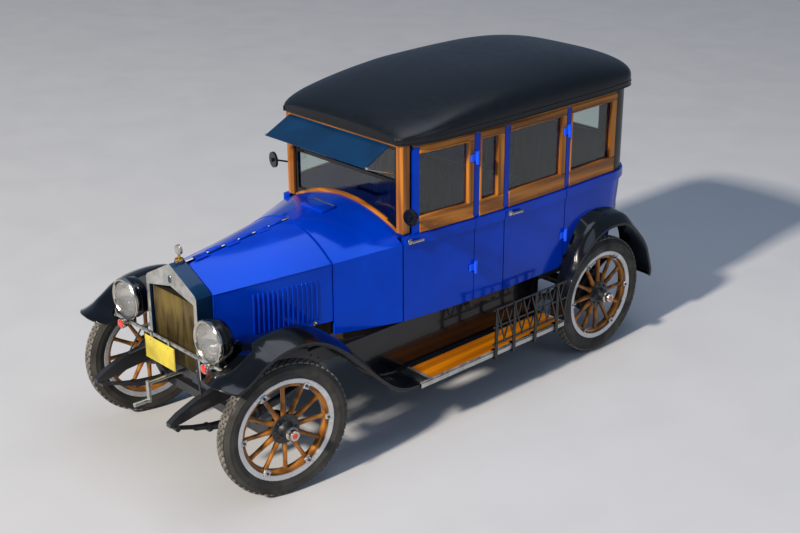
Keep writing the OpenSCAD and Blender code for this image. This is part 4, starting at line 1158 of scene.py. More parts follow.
@dataclass
class Radiator:
    """The shell with its nickel face, the finned core, the cap and the number plate."""

    fins: int = 62

    def build(self) -> None:
        """Makes the shell, the core's fins, the cap and the blank plate."""

        def sort(c: Vector, n: Vector) -> int:
            """Nickel on the face, the cap and the narrow returns; navy enamel behind them."""
            if c.z > 1.2615 + 0.03 and abs(c.x) < 0.04:
                return 0
            return 0 if c.y < -1.6455 or (c.y < -1.60 and n.y < -0.5) else 1

        work = Work().copy_of("radiator_shell", sort)
        deliver("radiator_case", work, "car_body", (DULL_NICKEL, NAVY), 30, 2.0, ("radiator_shell",), weld=False)
        work = Work()
        oval = [(0.017 * math.cos(2 * math.pi * k / 24), 0.024 * math.sin(2 * math.pi * k / 24)) for k in range(24)]
        face = Matrix.Translation((0, -1.646, 1.192)) @ Matrix.Rotation(math.pi / 2, 4, "X")
        work.part(1).prism(oval, -0.001, 0.0025, face)
        work.part(0).tube([face @ Vector((p[0], p[1], 0.0022)) for p in oval], 0.0016, 6, closed=True)
        cap = Matrix.Translation((0, -1.572, 1.262))
        work.part(2).lathe([(0.0, 0.0), (0.029, 0.0), (0.030, 0.004), (0.030, 0.016), (0.028, 0.022), (0.0, 0.023)],
                           cap, 32)
        work.part(3).lathe([(0.0, 0.023), (0.026, 0.023), (0.027, 0.028), (0.027, 0.036), (0.020, 0.041),
                            (0.009, 0.043),
                            (0.008, 0.066), (0.0, 0.066)], cap, 32)
        dial = Matrix.Translation((0, -1.564, 1.356)) @ Matrix.Rotation(math.pi / 2, 4, "X")
        work.part(3).lathe([(0.0, 0.0), (0.028, 0.0), (0.030, 0.003), (0.030, 0.014), (0.027, 0.0165), (0.024, 0.015),
                            (0.0, 0.015)], dial, 36)
        work.part(4).lathe([(0.0, 0.0148), (0.0238, 0.0148), (0.0238, 0.0156), (0.0, 0.0156)], dial, 30)
        deliver("radiator_cap_and_badge", work, "car_body", (NICKEL, NAVY, BLACK, BRASS, DIAL), 34)
        # the dark core behind the fins is painted shade
        core = Work().block((-0.2175, -1.6160, 0.644), (0.2175, -1.5760, 1.088), bevel=0.0)
        core.block((-0.223, -1.611, 0.624), (0.223, -1.581, 0.643), bevel=0.003)
        deliver("radiator_core_block", core, "car_body", (CORE_PASSAGE_SHADE,), 40, stands_for=("radiator_core",))
        spots = [((mix(-0.213, 0.213, k / (self.fins - 1)), -1.617, 0.645), (0, 0, 1), (0, -1, 0))
                 for k in range(self.fins)]
        shape = Work().block((-0.0017, 0.0, 0.0), (0.0017, 0.0085, 0.442), bevel=0.0)
        FINS.set_out("radiator_fins", "car_body", shape, spots)
        rows = [((mix(-0.212, 0.212, 0.5), -1.6175, mix(0.655, 1.080, k / 46)), (1, 0, 0), (0, -1, 0))
                for k in range(47)]
        shape = Work().block((-0.0009, 0.0, -0.212), (0.0009, 0.0055, 0.212), bevel=0.0)
        FINS.set_out("radiator_cross_fins", "car_body", shape, rows)
        plate = Work()
        at = Matrix.Translation((-0.075, -1.700, 0.715))
        plate.part(0).block((-0.152, -0.002, -0.074), (0.152, 0.002, 0.074), at, 0.002)
        edge = [(-0.148, -0.070), (0.148, -0.070), (0.148, 0.070), (-0.148, 0.070)]
        plate.tube([at @ Vector((x, -0.0022, z)) for x, z in edge], 0.0022, 6, closed=True)
        for x in (-0.09, 0.09):
            plate.part(1).block((x - 0.008, 0.001, 0.060), (x + 0.008, 0.004, 0.102), at, 0.001)
            plate.part(1).tube([at @ Vector((x, -0.004, 0.058)), at @ Vector((x, 0.004, 0.058))], 0.005, 8)
        deliver("number_plate_blank", plate, "car_body", (PLATE, NICKEL), 34)


@dataclass
class Lamps:
    """Both headlamps, the signal lamps and the bar that carries them."""

    x: float = 0.419
    z: float = 0.950

    def build(self) -> None:
        """Makes the lamp bodies, lenses and the bar."""
        for side, label in SIDES:
            at = Matrix.Translation((side * self.x, 0, self.z)) @ Matrix.Rotation(math.pi / 2, 4, "X")
            work = Work()
            shell = [(0.0, 1.568), (0.040, 1.5695), (0.080, 1.577), (0.104, 1.590), (0.118, 1.610), (0.1235, 1.640),
                     (0.1245, 1.684), (0.119, 1.684), (0.117, 1.640), (0.098, 1.596), (0.0, 1.578)]
            work.part(0).lathe(shell, at, 56)
            work.part(0).lathe([(0.1235, 1.650), (0.1265, 1.652), (0.1265, 1.657), (0.1235, 1.659)], at, 56,
                               closed=True)
            rim = [(0.112, 1.700), (0.112, 1.684), (0.128, 1.682), (0.1315, 1.690), (0.1310, 1.702), (0.126, 1.707),
                   (0.118, 1.706)]
            work.part(1).lathe(rim, at, 56, closed=True)
            bowl = [(0.0, 1.594), (0.040, 1.600), (0.075, 1.618), (0.100, 1.645), (0.113, 1.683), (0.1145, 1.684),
                    (0.101, 1.643), (0.075, 1.614), (0.040, 1.596), (0.0, 1.590)]
            work.part(2).lathe(bowl, at, 48)
            work.part(3).lathe([(0.0, 1.600), (0.010, 1.602), (0.012, 1.622), (0.006, 1.634), (0.0, 1.636)], at, 16)
            deliver(f"headlamp_{label}", work, "car_body", (BLACK, NICKEL, MIRROR, DIAL), 36)
            lens = [(0.0, 1.7055), (0.060, 1.7035), (0.1125, 1.696), (0.1125, 1.692), (0.060, 1.6995), (0.0, 1.7015)]
            deliver(f"headlamp_lens_{label}", Work().lathe(lens, at, 48), "car_body", (LAMP_GLASS,), 40)
            spot = Matrix.Translation((side * 0.424, 0, 0.800)) @ Matrix.Rotation(math.pi / 2, 4, "X")
            lamp = Work()
            lamp.part(0).lathe([(0.0, 1.678), (0.012, 1.680), (0.014, 1.700), (0.028, 1.706), (0.031, 1.716),
                                (0.032, 1.738), (0.029, 1.743), (0.025, 1.741), (0.0, 1.741)], spot, 32)
            lamp.part(1).lathe([(0.0, 1.738), (0.0245, 1.738), (0.023, 1.745), (0.012, 1.751), (0.0, 1.752)], spot, 28)
            deliver(f"signal_lamp_{label}", lamp, "car_body", (NICKEL, RED_GLOW_GLASS), 36)
        bar = Work()
        bar.part(0).tube([(-0.560, -1.680, 0.800), (0.560, -1.680, 0.800)], 0.0115, 16)
        for side, _ in SIDES:
            bar.part(0).lathe([(0.0, 0.776), (0.012, 0.777), (0.024, 0.782), (0.024, 0.817), (0.018, 0.822),
                               (0.014, 0.828),
                               (0.013, 0.838), (0.0, 0.838)], Matrix.Translation((side * self.x, -1.660, 0.0)), 24)
            bar.tube([(side * 0.2525, -1.620, 0.800), (side * 0.300, -1.620, 0.800)], 0.010, 12)
            bar.block((side * 0.5567 - 0.0047, -1.690, 0.790), (side * 0.5567 + 0.0047, -1.670, 0.846), bevel=0.002)
            bar.block((side * 0.300 - 0.010, -1.682, 0.792), (side * 0.300 + 0.010, -1.610, 0.808), bevel=0.003)
            bar.part(1).tube([(side * 0.285, -1.690, 0.795), (side * 0.375, -1.735, 0.610)], 0.0055, 8)
            bar.part(1).tube([(side * 0.375, -1.735, 0.610), (side * 0.240, -1.668, 0.700)], 0.0045, 8)
            bar.part(0).lathe([(0.0, -0.008), (0.016, -0.006), (0.016, 0.006), (0.0, 0.008)],
                              Matrix.Translation((side * 0.560, -1.680, 0.800)) @ Matrix.Rotation(math.pi / 2, 4, "Y"),
                              16)
        deliver("lamp_bar", bar, "car_body", (DULL_NICKEL, CHASSIS), 34, stands_for=("headlamps",))


# ---------- body ----------

FRONT_DOOR, REAR_DOOR = (-0.331, 0.222, -0.246), (0.487, 1.072, 0.487)
HINGE_Z = (0.930, 1.660)


@dataclass
class Coachwork:
    """Doors, posts and the rear of the body in blue, with their wooden window frames."""

    window: tuple[float, float] = (1.362, 1.772)
    proud: float = -0.006

    @staticmethod
    def sort(c: Vector, n: Vector) -> int:
        """Blue with a painted highlight on the hinge blocks, nickel on the handles, blue elsewhere."""
        out = abs(c.x) - half_width(c.y)
        if out > 0.0125 and abs(c.z - 1.225) < 0.012 and not 0.19 < c.y < 0.26:
            return 2
        near = min(abs(c.z - z) for z in HINGE_Z) < 0.045 and min(abs(c.y - 0.225), abs(c.y - 1.075)) < 0.045
        limit = -0.011 if c.z > BELT_Z else 0.001
        return 1 if near and out > limit else 0

    def build(self) -> None:
        """Makes every panel and the joinery on it."""
        # the second finish is the blue with a painted highlight, for the hinge blocks
        finishes = (BLUE, HINGE_HIGHLIGHT_BLUE, NICKEL)
        for node in ("body_posts", "rear_body"):
            deliver(f"{node}_panels", Work().copy_of(node, self.sort), "car_body", finishes, 30, 1.5, (node,),
                    weld=False)
        for side, label in SIDES:
            for end, (y0, y1, wy) in (("front", FRONT_DOOR), ("rear", REAR_DOOR)):
                body = f"door_{end}_{label}"
                deliver(f"{body}_panel", Work().copy_of(body, self.sort), body, finishes, 30, 1.5, (body,), weld=False)
                self._handle(body, side, y0 + 0.040)
                work = Work()
                self._frame(work, side, wy + 0.042, y1 - 0.001, wy + 0.042, y1 - 0.044)
                deliver(f"{body}_joinery", work, body, (WOOD_Y, WOOD_Z), 30)
                self._screws(body, side, wy + 0.06, y1 - 0.01)
                dress(f"glass_{end}_{label}", GLASS)
            work = Work()
            self._frame(work, side, 0.272, 0.4795, 0.285, 0.425)
            self._frame(work, side, 1.118, 1.600, 1.130, 1.550)
            work.part(0)
            side_rail(work, -0.254, 1.600, 1.8135, 1.834, -0.044, -0.010, side)
            side_rail(work, -0.254, 1.600, 1.8135, 1.8185, -0.046, -0.004, side, 0.002)
            deliver(f"window_joinery_{label}", work, "car_body", (WOOD_Y, WOOD_Z), 30)
        dress("fixed_glass", GLASS)

    def _frame(self, work: Work, side: int, y0: float, y1: float, w0: float, w1: float) -> None:
        """Adds the rails and stiles round one window.

        Args:
            work: the mesh.
            side: LEFT or RIGHT.
            y0: front edge of the frame.
            y1: rear edge of the frame.
            w0: front edge of the opening.
            w1: rear edge of the opening.
        """
        low, high = self.window
        work.part(0)
        side_rail(work, y0, y1, BELT_Z + 0.004, low + 0.003, -0.024, self.proud, side, 0.004)
        side_rail(work, y0, y1, BELT_Z + 0.008, BELT_Z + 0.020, -0.020, self.proud + 0.003, side, 0.002)
        side_rail(work, w0 - 0.002, w1 + 0.003, low - 0.010, low + 0.006, -0.026, self.proud + 0.003, side, 0.003)
        side_rail(work, y0, y1, high - 0.003, HEADER_Z, -0.024, self.proud, side, 0.004)
        side_rail(work, w0 - 0.002, w1 + 0.003, high - 0.006, high + 0.008, -0.026, self.proud + 0.003, side, 0.003)
        work.part(1)
        side_rail(work, w1 - 0.003, y1, low + 0.0025, high - 0.0025, -0.024, self.proud - 0.0005, side, 0.004)
        side_rail(work, w1 - 0.006, w1 + 0.008, low + 0.002, high - 0.002, -0.026, self.proud + 0.0025, side, 0.003)
        if w0 - y0 > 0.008:
            side_rail(work, y0, w0 + 0.003, low + 0.0025, high - 0.0025, -0.024, self.proud - 0.0005, side, 0.003)

    def _handle(self, body: str, side: int, y: float) -> None:
        """Adds the handle's escutcheon and its curved grip."""
        work = Work()
        x = half_width(y) + BELT_OUT
        at = Matrix.Translation((side * x, y, 1.225)) @ Matrix.Rotation(side * math.pi / 2, 4, "Y")
        work.lathe([(0.0, -0.002), (0.019, -0.001), (0.018, 0.003), (0.010, 0.006), (0.0095, 0.020), (0.0, 0.021)], at,
                   24)
        grip = [Vector((side * (half_width(y) + 0.034 - 0.006 * abs(s) ** 2), y + 0.040 + 0.050 * s, 1.225 - 0.004 * s))
                for s in (-1.0, -0.6, -0.2, 0.2, 0.6, 1.0)]
        work.tube(grip, 0.0092, 12)
        for s in (0, -1):
            ball = Matrix.Translation(grip[s])
            work.lathe([(0.0, -0.011), (0.008, -0.008), (0.011, 0.0), (0.008, 0.008), (0.0, 0.011)], ball, 14)
        deliver(f"{body}_handle", work, body, (NICKEL,), 40)

    def _screws(self, body: str, side: int, y0: float, y1: float) -> None:
        """Sets brass screws along the lower rail of a window."""
        spots = []
        for k in range(5):
            y = mix(y0, y1, k / 4)
            for z in (1.290, 1.790):
                spots.append((Vector((side * (half_width(y) + self.proud - 0.0004), y, z)), (side, 0, 0), (0, 0, 1)))
        SCREWS.set_out(f"{body}_screws", body, dome(0.0042, 0.0014, 10), spots)


@dataclass
class Top:
    """The stretched leather-cloth top, the rear curtain and their piping."""

    stations: tuple[tuple[float, float, float, float], ...] = (
        (-0.348, 0.528, 1.904, 1.862), (-0.310, 0.566, 1.932, 1.867), (-0.230, 0.606, 1.966, 1.876),
        (-0.100, 0.640, 2.004, 1.882), (0.150, 0.658, 2.052, 1.890), (0.500, 0.668, 2.085, 1.890),
        (0.900, 0.668, 2.095, 1.890), (1.250, 0.668, 2.091, 1.890), (1.500, 0.665, 2.071, 1.890),
        (1.720, 0.640, 2.037, 1.889), (1.790, 0.606, 2.019, 1.880), (1.830, 0.566, 1.991, 1.873),
        (1.850, 0.520, 1.945, 1.870))
    rear_y: float = 1.832

    def ring(self, y: float, drop: float, close: float = 0.0) -> list[Vector]:
        """The top's whole section at y, moved in by drop and flattened by close."""
        hw, top, base = (smooth_lookup(y, tuple((s[0], s[k]) for s in self.stations)) for k in (1, 2, 3))
        hw = min(hw, 0.669)
        power = mix(0.95, 0.714, (y + 0.348) / 0.848) if y < 0.5 else 0.714
        top = mix(top, base + 0.006, close)
        half = [(hw - drop, max(base - 0.052, 1.835)), (hw - drop, base - 0.020)]
        for i in range(17):
            a = math.pi / 2 * i / 16
            half.append((0.0 if i == 16 else (hw - drop) * math.cos(a) ** power,
                         base + (top - base - drop) * math.sin(a) ** power))
        return [Vector((x, y, z)) for x, z in half] + [Vector((-x, y, z)) for x, z in half[-2::-1]]

    def curtain(self, s: float, d: float) -> tuple[float, float]:
        """(x, y) of the left rear outline at s: 0 behind the quarter window, 1 to 2 round the corner, 3 at the middle."""
        r = 0.245 + d
        if s <= 1:
            return 0.655 + d - 0.004 * (1 - s), mix(1.602, self.rear_y - 0.245, s)
        if s <= 2:
            a = math.pi / 2 * (s - 1)
            return 0.410 + r * math.cos(a), self.rear_y - 0.245 + r * math.sin(a)
        return mix(0.410, 0.0, s - 2), self.rear_y + d

    def build(self) -> None:
        """Makes the top, the curtain with its window surround, and the piping."""
        ys = [mix(-0.348, 1.850, 0.5 - 0.5 * math.cos(math.pi * k / 60)) for k in range(61)]
        outer = [self.ring(y, 0.0) for y in ys]
        inner = [self.ring(y, 0.020) for y in ys]
        for close, shift in ((0.5, 0.003), (0.95, 0.004)):
            outer.append([v + Vector((0, shift, 0)) for v in self.ring(1.850, 0.002, close)])
            inner.append([v + Vector((0, shift - 0.008, 0)) for v in self.ring(1.850, 0.022, close)])
        work = Work().shell(outer, inner)
        front = self.ring(-0.348, 0.003)
        work.loft([[Vector((v.x, y, max(v.z, 1.836))) for v in front] for y in (-0.3475, -0.3305)], ring=True)
        deliver("leather_cloth_top", work, "car_body", (TOP_CLOTH,), 45, stands_for=("roof",))
        trim = Work()
        for k in (1,):
            left = [row[k] for row in outer[:-2]]
            right = [row[-1 - k] for row in outer[:-2]]
            trim.tube(left[::-1] + outer[0][k:-k] + right + outer[-3][-1 - k:k:-1], 0.0052, 8)
        for share in (0, -1):
            low = [row[share] for row in outer[:-2]]
            trim.tube(low, 0.0040, 8)
        trim.tube(outer[0][:], 0.0050, 8)
        deliver("top_piping", trim, "car_body", (TOP_CLOTH,), 60)
        for side, label in SIDES:
            work = Work()
            stops = [k / 4 for k in range(5)] + [1 + k / 12 for k in range(1, 13)] + [2 + k / 4 * 0.1951
                                                                                      for k in range(1, 5)]
            zs = [1.257 + (1.862 - 1.257) * k / 10 for k in range(11)]
            self._panel(work, side, stops, zs)
            bead = [Vector((side * x, y, 1.2605)) for x, y in (self.curtain(s, -0.006) for s in stops)]
            work.tube(bead, 0.004, 8)
            rear = [Vector((side * x, y, z)) for z in zs for x, y in [self.curtain(0.0, -0.007)]]
            work.tube(rear, 0.0045, 8)
            deliver(f"rear_curtain_{label}", work, "car_body", (TOP_CLOTH,), 45)
        work = Work()
        across = [-0.330 + 0.660 * k / 12 for k in range(13)]
        for z0, z1 in ((1.257, 1.450), (1.700, 1.862)):
            steps = [mix(z0, z1, k / 4) for k in range(5)]
            work.shell([[Vector((x, self.rear_y - 0.008, z)) for x in across] for z in steps],
                       [[Vector((x, self.rear_y - 0.028, z)) for x in across] for z in steps])
        work.tube([(x, self.rear_y - 0.006, 1.2605) for x in across], 0.004, 8)
        loop = rounded(0.338, 0.133, 0.030)
        work.part(1).tube([Vector((x, self.rear_y - 0.007, z + 1.575)) for x, z in loop], 0.007, 8, closed=True)
        deliver("rear_curtain_middle", work, "car_body", (TOP_CLOTH, DULL_NICKEL), 45)

    def _panel(self, work: Work, side: int, stops: Sequence[float], zs: Sequence[float]) -> None:
        """Adds one half of the curtain, from the quarter window to the rear window."""
        rows = []
        for d in (-0.008, -0.028):
            rows.append([[Vector((side * self.curtain(s, d)[0], self.curtain(s, d)[1], z)) for s in stops] for z in zs])
        work.shell(rows[0], rows[1])


def rounded(half_x: float, half_z: float, radius: float, steps: int = 5) -> list[tuple[float, float]]:
    """Outline of a rectangle with rounded corners, about its centre."""
    out = []
    for cx, cz, start in ((1, 1, 0), (-1, 1, 90), (-1, -1, 180), (1, -1, 270)):
        for k in range(steps + 1):
            a = math.radians(start + 90 * k / steps)
            out.append((cx * (half_x - radius) + radius * math.cos(a), cz * (half_z - radius) + radius * math.sin(a)))
    return out


def dress(node: str, finish: Finish) -> None:
    """Gives a CAD node that stays its material."""
    piece = CAR["nodes"][node]
    piece.data.materials.clear()
    piece.data.materials.append(finish.material())
    for face in piece.data.polygons:
        face.material_index = 0
    log.info("%s keeps its CAD shape in %s", node, finish.name)


@dataclass
class Windscreen:
    """The screen's frame, the wooden corner pillars, the visor and the mirrors."""

    def build(self) -> None:
        """Makes the frame, pillars, visor and mirror glasses."""
        deliver("windscreen_frame_bars", Work().copy_of("windscreen_frame"), "car_body", (BLACK,), 35, 1.5,
                ("windscreen_frame",), weld=False)
        deliver("corner_pillars", Work().copy_of("wood_pillars", lambda c, n: 1 if c.z > 1.806 else 0), "car_body",
                (WOOD_Z, WOOD_X), 35, 5.0, ("wood_pillars",), weld=False)
        visor = Work()
        profile = [(-0.350, 1.812), (-0.352, 1.820), (-0.350, 1.824), (-0.540, 1.7305), (-0.546, 1.727),
                   (-0.5465, 1.722),
                   (-0.541, 1.718)]
        visor.part(0).loft([[Vector((x, y, z)) for y, z in profile] for x in (-0.470, -0.466, 0.466, 0.470)], ring=True)
        for side, _ in SIDES:
            visor.part(1).tube([(side * 0.481, -0.545, 1.720), (side * 0.481, -0.331, 1.645)], 0.0035, 8)
            visor.block((side * 0.475 - 0.009, -0.546, 1.716), (side * 0.475 + 0.009, -0.532, 1.730), bevel=0.003)
        edge = [Vector((-0.470, -0.547, 1.7235)), Vector((0.470, -0.547, 1.7235))]
        visor.part(0).tube(edge, 0.004, 8)
        deliver("sun_visor_panel", visor, "car_body", (NAVY, NICKEL), 35, stands_for=("sun_visor",))
        for name, at, side in (("left", (0.680, -0.372, 1.425), 1), ("right", (-0.590, -0.400, 1.500), -1)):
            place = (Matrix.Translation(at) @ Matrix.Rotation(side * math.radians(12), 4, "Z")
                     @ Matrix.Rotation(-math.pi / 2, 4, "X"))
            glass = Work().part(0).lathe([(0.0, 0.004), (0.047, 0.004), (0.047, 0.0068), (0.0, 0.0072)], place, 40)
            glass.part(1).lathe([(0.0465, 0.0), (0.053, 0.001), (0.053, 0.007), (0.0465, 0.0085)], place, 40,
                                closed=True)
            deliver(f"mirror_{name}", glass, "car_body", (MIRROR, BLACK), 40)


# ---------- inside ----------


@dataclass
class Cushion:
    """A sprung and pleated leather pad, swollen by a cloth simulation."""

    name: str
    low: tuple[float, float, float]
    high: tuple[float, float, float]
    tilt: float = 0.0
    pivot: tuple[float, float, float] = (0.0, 0.0, 0.0)
    pleats: int = 14
    face: int = 2
    cap_mm: float = 14.0

    def build(self, stands_for: Sequence[str]) -> bpy.types.Object:
        """Makes the pad and its pleats.

        Args:
            stands_for: CAD nodes that it replaces.

        Returns:
            The pad.
        """
        work = Work()
        inset = 0.012
        low = [v + inset for v in self.low]
        high = [v - inset for v in self.high]
        work.block(low, high, bevel=0.035)
        bmesh.ops.triangulate(work.bm, faces=work.bm.faces)
        mesh = bpy.data.meshes.new(self.name)
        work.weld().bm.to_mesh(mesh)
        work.bm.free()
        pad = bpy.data.objects.new(self.name, mesh)
        bpy.context.scene.collection.objects.link(pad)
        self._apply(pad, "REMESH", mode="VOXEL", voxel_size=0.017, use_smooth_shade=True)
        rest = [v.co.copy() for v in pad.data.vertices]
        self._swell(pad)
        cap = self.cap_mm / 1000
        for v, was in zip(pad.data.vertices, rest):
            move = v.co - was
            if move.length > cap:
                v.co = was + move.normalized() * cap
        self._pleat(pad)
        self._apply(pad, "SUBSURF", levels=1, render_levels=1)
        turn = (Matrix.Translation(self.pivot) @ Matrix.Rotation(math.radians(self.tilt), 4, "X"))
        pad.data.transform(turn)
        pad.data.materials.append(HIDE.material())
        for face in pad.data.polygons:
            face.use_smooth = True
            face.material_index = 0
        register(pad, "car_body", HIDE, stands_for)
        return pad

    def _apply(self, pad: bpy.types.Object, kind: str, **settings: object) -> None:
        """Runs one modifier and keeps its result as the mesh."""
        step = pad.modifiers.new(kind.lower(), kind)
        for key, value in settings.items():
            setattr(step, key, value)
        ready = pad.evaluated_get(bpy.context.evaluated_depsgraph_get())
        mesh = bpy.data.meshes.new_from_object(ready)
        pad.modifiers.remove(step)
        pad.data = mesh

    def _swell(self, pad: bpy.types.Object) -> None:
        """Lets the cover fill out under pressure."""
        scene = bpy.context.scene
        cloth = pad.modifiers.new("cloth", "CLOTH")
        cloth.settings.use_pressure = True
        cloth.settings.uniform_pressure_force = 4.0
        cloth.settings.quality = 4
        cloth.settings.effector_weights.gravity = 0.0
        cloth.point_cache.frame_start, cloth.point_cache.frame_end = 1, 14
        for frame in range(1, 15):
            scene.frame_set(frame)
        ready = pad.evaluated_get(bpy.context.evaluated_depsgraph_get())
        mesh = bpy.data.meshes.new_from_object(ready)
        pad.modifiers.remove(cloth)
        pad.data = mesh
        scene.frame_set(1)

    def _pleat(self, pad: bpy.types.Object) -> None:
        """Sews channels across the face."""
        width = self.high[0] - self.low[0]
        axis = self.face
        base, top = self.low[axis], self.high[axis]
        sign = 1.0 if axis == 2 else -1.0
        for v in pad.data.vertices:
            share = (v.co[axis] - base) / (top - base)
            share = share if sign > 0 else 1 - share
            if share < 0.6:
                continue
            t = ((v.co.x - self.low[0]) / width * self.pleats) % 1.0
            groove = max(0.0, 1 - min(t, 1 - t) / 0.22) ** 1.5
            v.co[axis] -= sign * 0.011 * groove * min(1.0, (share - 0.6) / 0.25)


@dataclass
class Interior:
    """Seats, dashboard, steering wheel, levers, floor and carpets."""

    column: tuple[float, float, float] = (0.300, -0.095, 1.215)
    lean: float = 52.0

    def build(self) -> None:
        """Makes everything inside the cabin."""
        for name, y, front, top in (("front_seat", -0.060, 0.420, 0.900), ("rear_seat", 1.110, 1.560, 0.930)):
            box = Work().block((-0.535, y, 0.690), (0.535, front, top), bevel=0.012)
            deliver(f"{name}_box", box, "car_body", (HIDE,), 35, stands_for=(name,))
        Cushion("front_seat_cushion", (-0.545, -0.080, 0.901), (0.545, 0.400, 1.030)).build(())
        Cushion("rear_seat_cushion", (-0.545, 1.090, 0.931), (0.545, 1.560, 1.060)).build(())
        Cushion("front_seat_back", (-0.545, -0.050, -0.060), (0.545, 0.055, 0.500), -12, (0, 0.405, 1.000),
                face=1).build(())
        Cushion("rear_seat_back", (-0.540, -0.040, -0.060), (0.540, 0.060, 0.540), -8, (0, 1.540, 1.000),
                face=1).build(())
        dress("floor_pan", BOARDS)
        mat = Work()
        for y0, y1 in ((-0.30, -0.075), (0.43, 1.095)):
            mat.block((-0.520, y0, 0.689), (0.520, y1, 0.698), bevel=0.003)
        deliver("carpets", mat, "car_body", (CARPET,), 40)
        self._dashboard()
        self._wheel()

    def _dashboard(self) -> None:
        """Makes the wooden instrument board, its dials and the levers."""
        work = Work()
        board = [(-0.500, 1.130), (0.500, 1.130), (0.500, 1.232), (0.300, 1.300), (0.0, 1.335), (-0.300, 1.300),
                 (-0.500, 1.232)]
        at = Matrix.Translation((0, -0.352, 0)) @ Matrix.Rotation(math.pi / 2, 4, "X")
        work.part(0).prism(board, -0.008, 0.010, at)
        for x, r in ((0.0, 0.052), (0.130, 0.040), (-0.130, 0.040), (-0.240, 0.026)):
            spot = Matrix.Translation((x, -0.343, 1.215)) @ Matrix.Rotation(-math.pi / 2, 4, "X")
            work.part(1).lathe([(r - 0.006, 0.0), (r, 0.001), (r, 0.006), (r - 0.005, 0.008)], spot, 32, closed=True)
            work.part(2).lathe([(0.0, 0.0), (r - 0.004, 0.0), (r - 0.004, 0.003), (0.0, 0.003)], spot, 32)
            work.part(3).block((-0.0015, -0.001, 0.003), (0.0015, r * 0.7, 0.0045), spot, 0.0)
        deliver("instrument_board", work, "car_body", (WOOD_X, NICKEL, DIAL, BLACK), 35)
        levers = Work()
        for x, y, top, knob in ((0.0, -0.200, 1.060, 0.020), (0.075, -0.160, 1.010, 0.013)):
            levers.part(0).tube([(x, y - 0.04, 0.690), (x, y - 0.02, 0.850), (x, y + 0.03, top)], 0.009, 10)
            ball = Matrix.Translation((x, y + 0.032, top + 0.010))
            levers.part(1).lathe([(0.0, -knob), (knob * 0.7, -knob * 0.7), (knob, 0), (knob * 0.7, knob * 0.7),
                                  (0.0, knob)],
                                 ball, 16)
        for x in (0.22, 0.31, 0.40):
            levers.part(0).tube([(x, -0.60, 0.700), (x, -0.50, 0.780), (x, -0.47, 0.840)], 0.008, 8)
            levers.part(0).block((x - 0.030, -0.485, 0.828), (x + 0.030, -0.465, 0.890), bevel=0.006)
        deliver("levers_and_pedals", levers, "car_body", (CHASSIS, BLACK), 35)

    def _wheel(self) -> None:
        """Makes the steering wheel with its wooden rim and four arms."""
        place = Matrix.Translation(self.column) @ Matrix.Rotation(math.radians(-self.lean), 4, "X")
        rim = [(0.200 + 0.0128 * math.cos(2 * math.pi * k / 16), 0.0128 * math.sin(2 * math.pi * k / 16))
               for k in range(16)]
        work = Work().part(0).lathe(rim, place, 80, closed=True)
        work.part(1).lathe([(0.0, -0.018), (0.034, -0.018), (0.036, -0.012), (0.034, 0.004), (0.024, 0.008),
                            (0.0, 0.008)],
                           place, 32)
        work.part(2).lathe([(0.0, 0.008), (0.020, 0.008), (0.018, 0.013), (0.0, 0.015)], place, 24)
        work.part(1).lathe([(0.0, -0.190), (0.0098, -0.190), (0.0098, -0.017), (0.0, -0.017)], place, 20)
        for i in range(4):
            at = place @ Matrix.Rotation(math.radians(45 + 90 * i), 4, "Z")
            work.part(1).tube([at @ Vector((x, 0, z)) for x, z in ((0.025, -0.006), (0.090, -0.004), (0.150, -0.003),
                                                                     (0.192, -0.001))], 0.0065, 10)
        work.part(1).tube([place @ Vector((0.030, 0.0, 0.012)), place @ Vector((0.095, 0.0, 0.014))], 0.003, 8)
        deliver("steering_wheel_rim", work, "steering_wheel", (RIM_WOOD, BLACK, NICKEL), 40,
                stands_for=("steering_wheel",))
        deliver("steering_column_tube", Work().copy_of("steering_column"), "car_body", (BLACK,), 35, 0.0,
                ("steering_column",), weld=False)


# ---------- boards, rack and running gear ----------


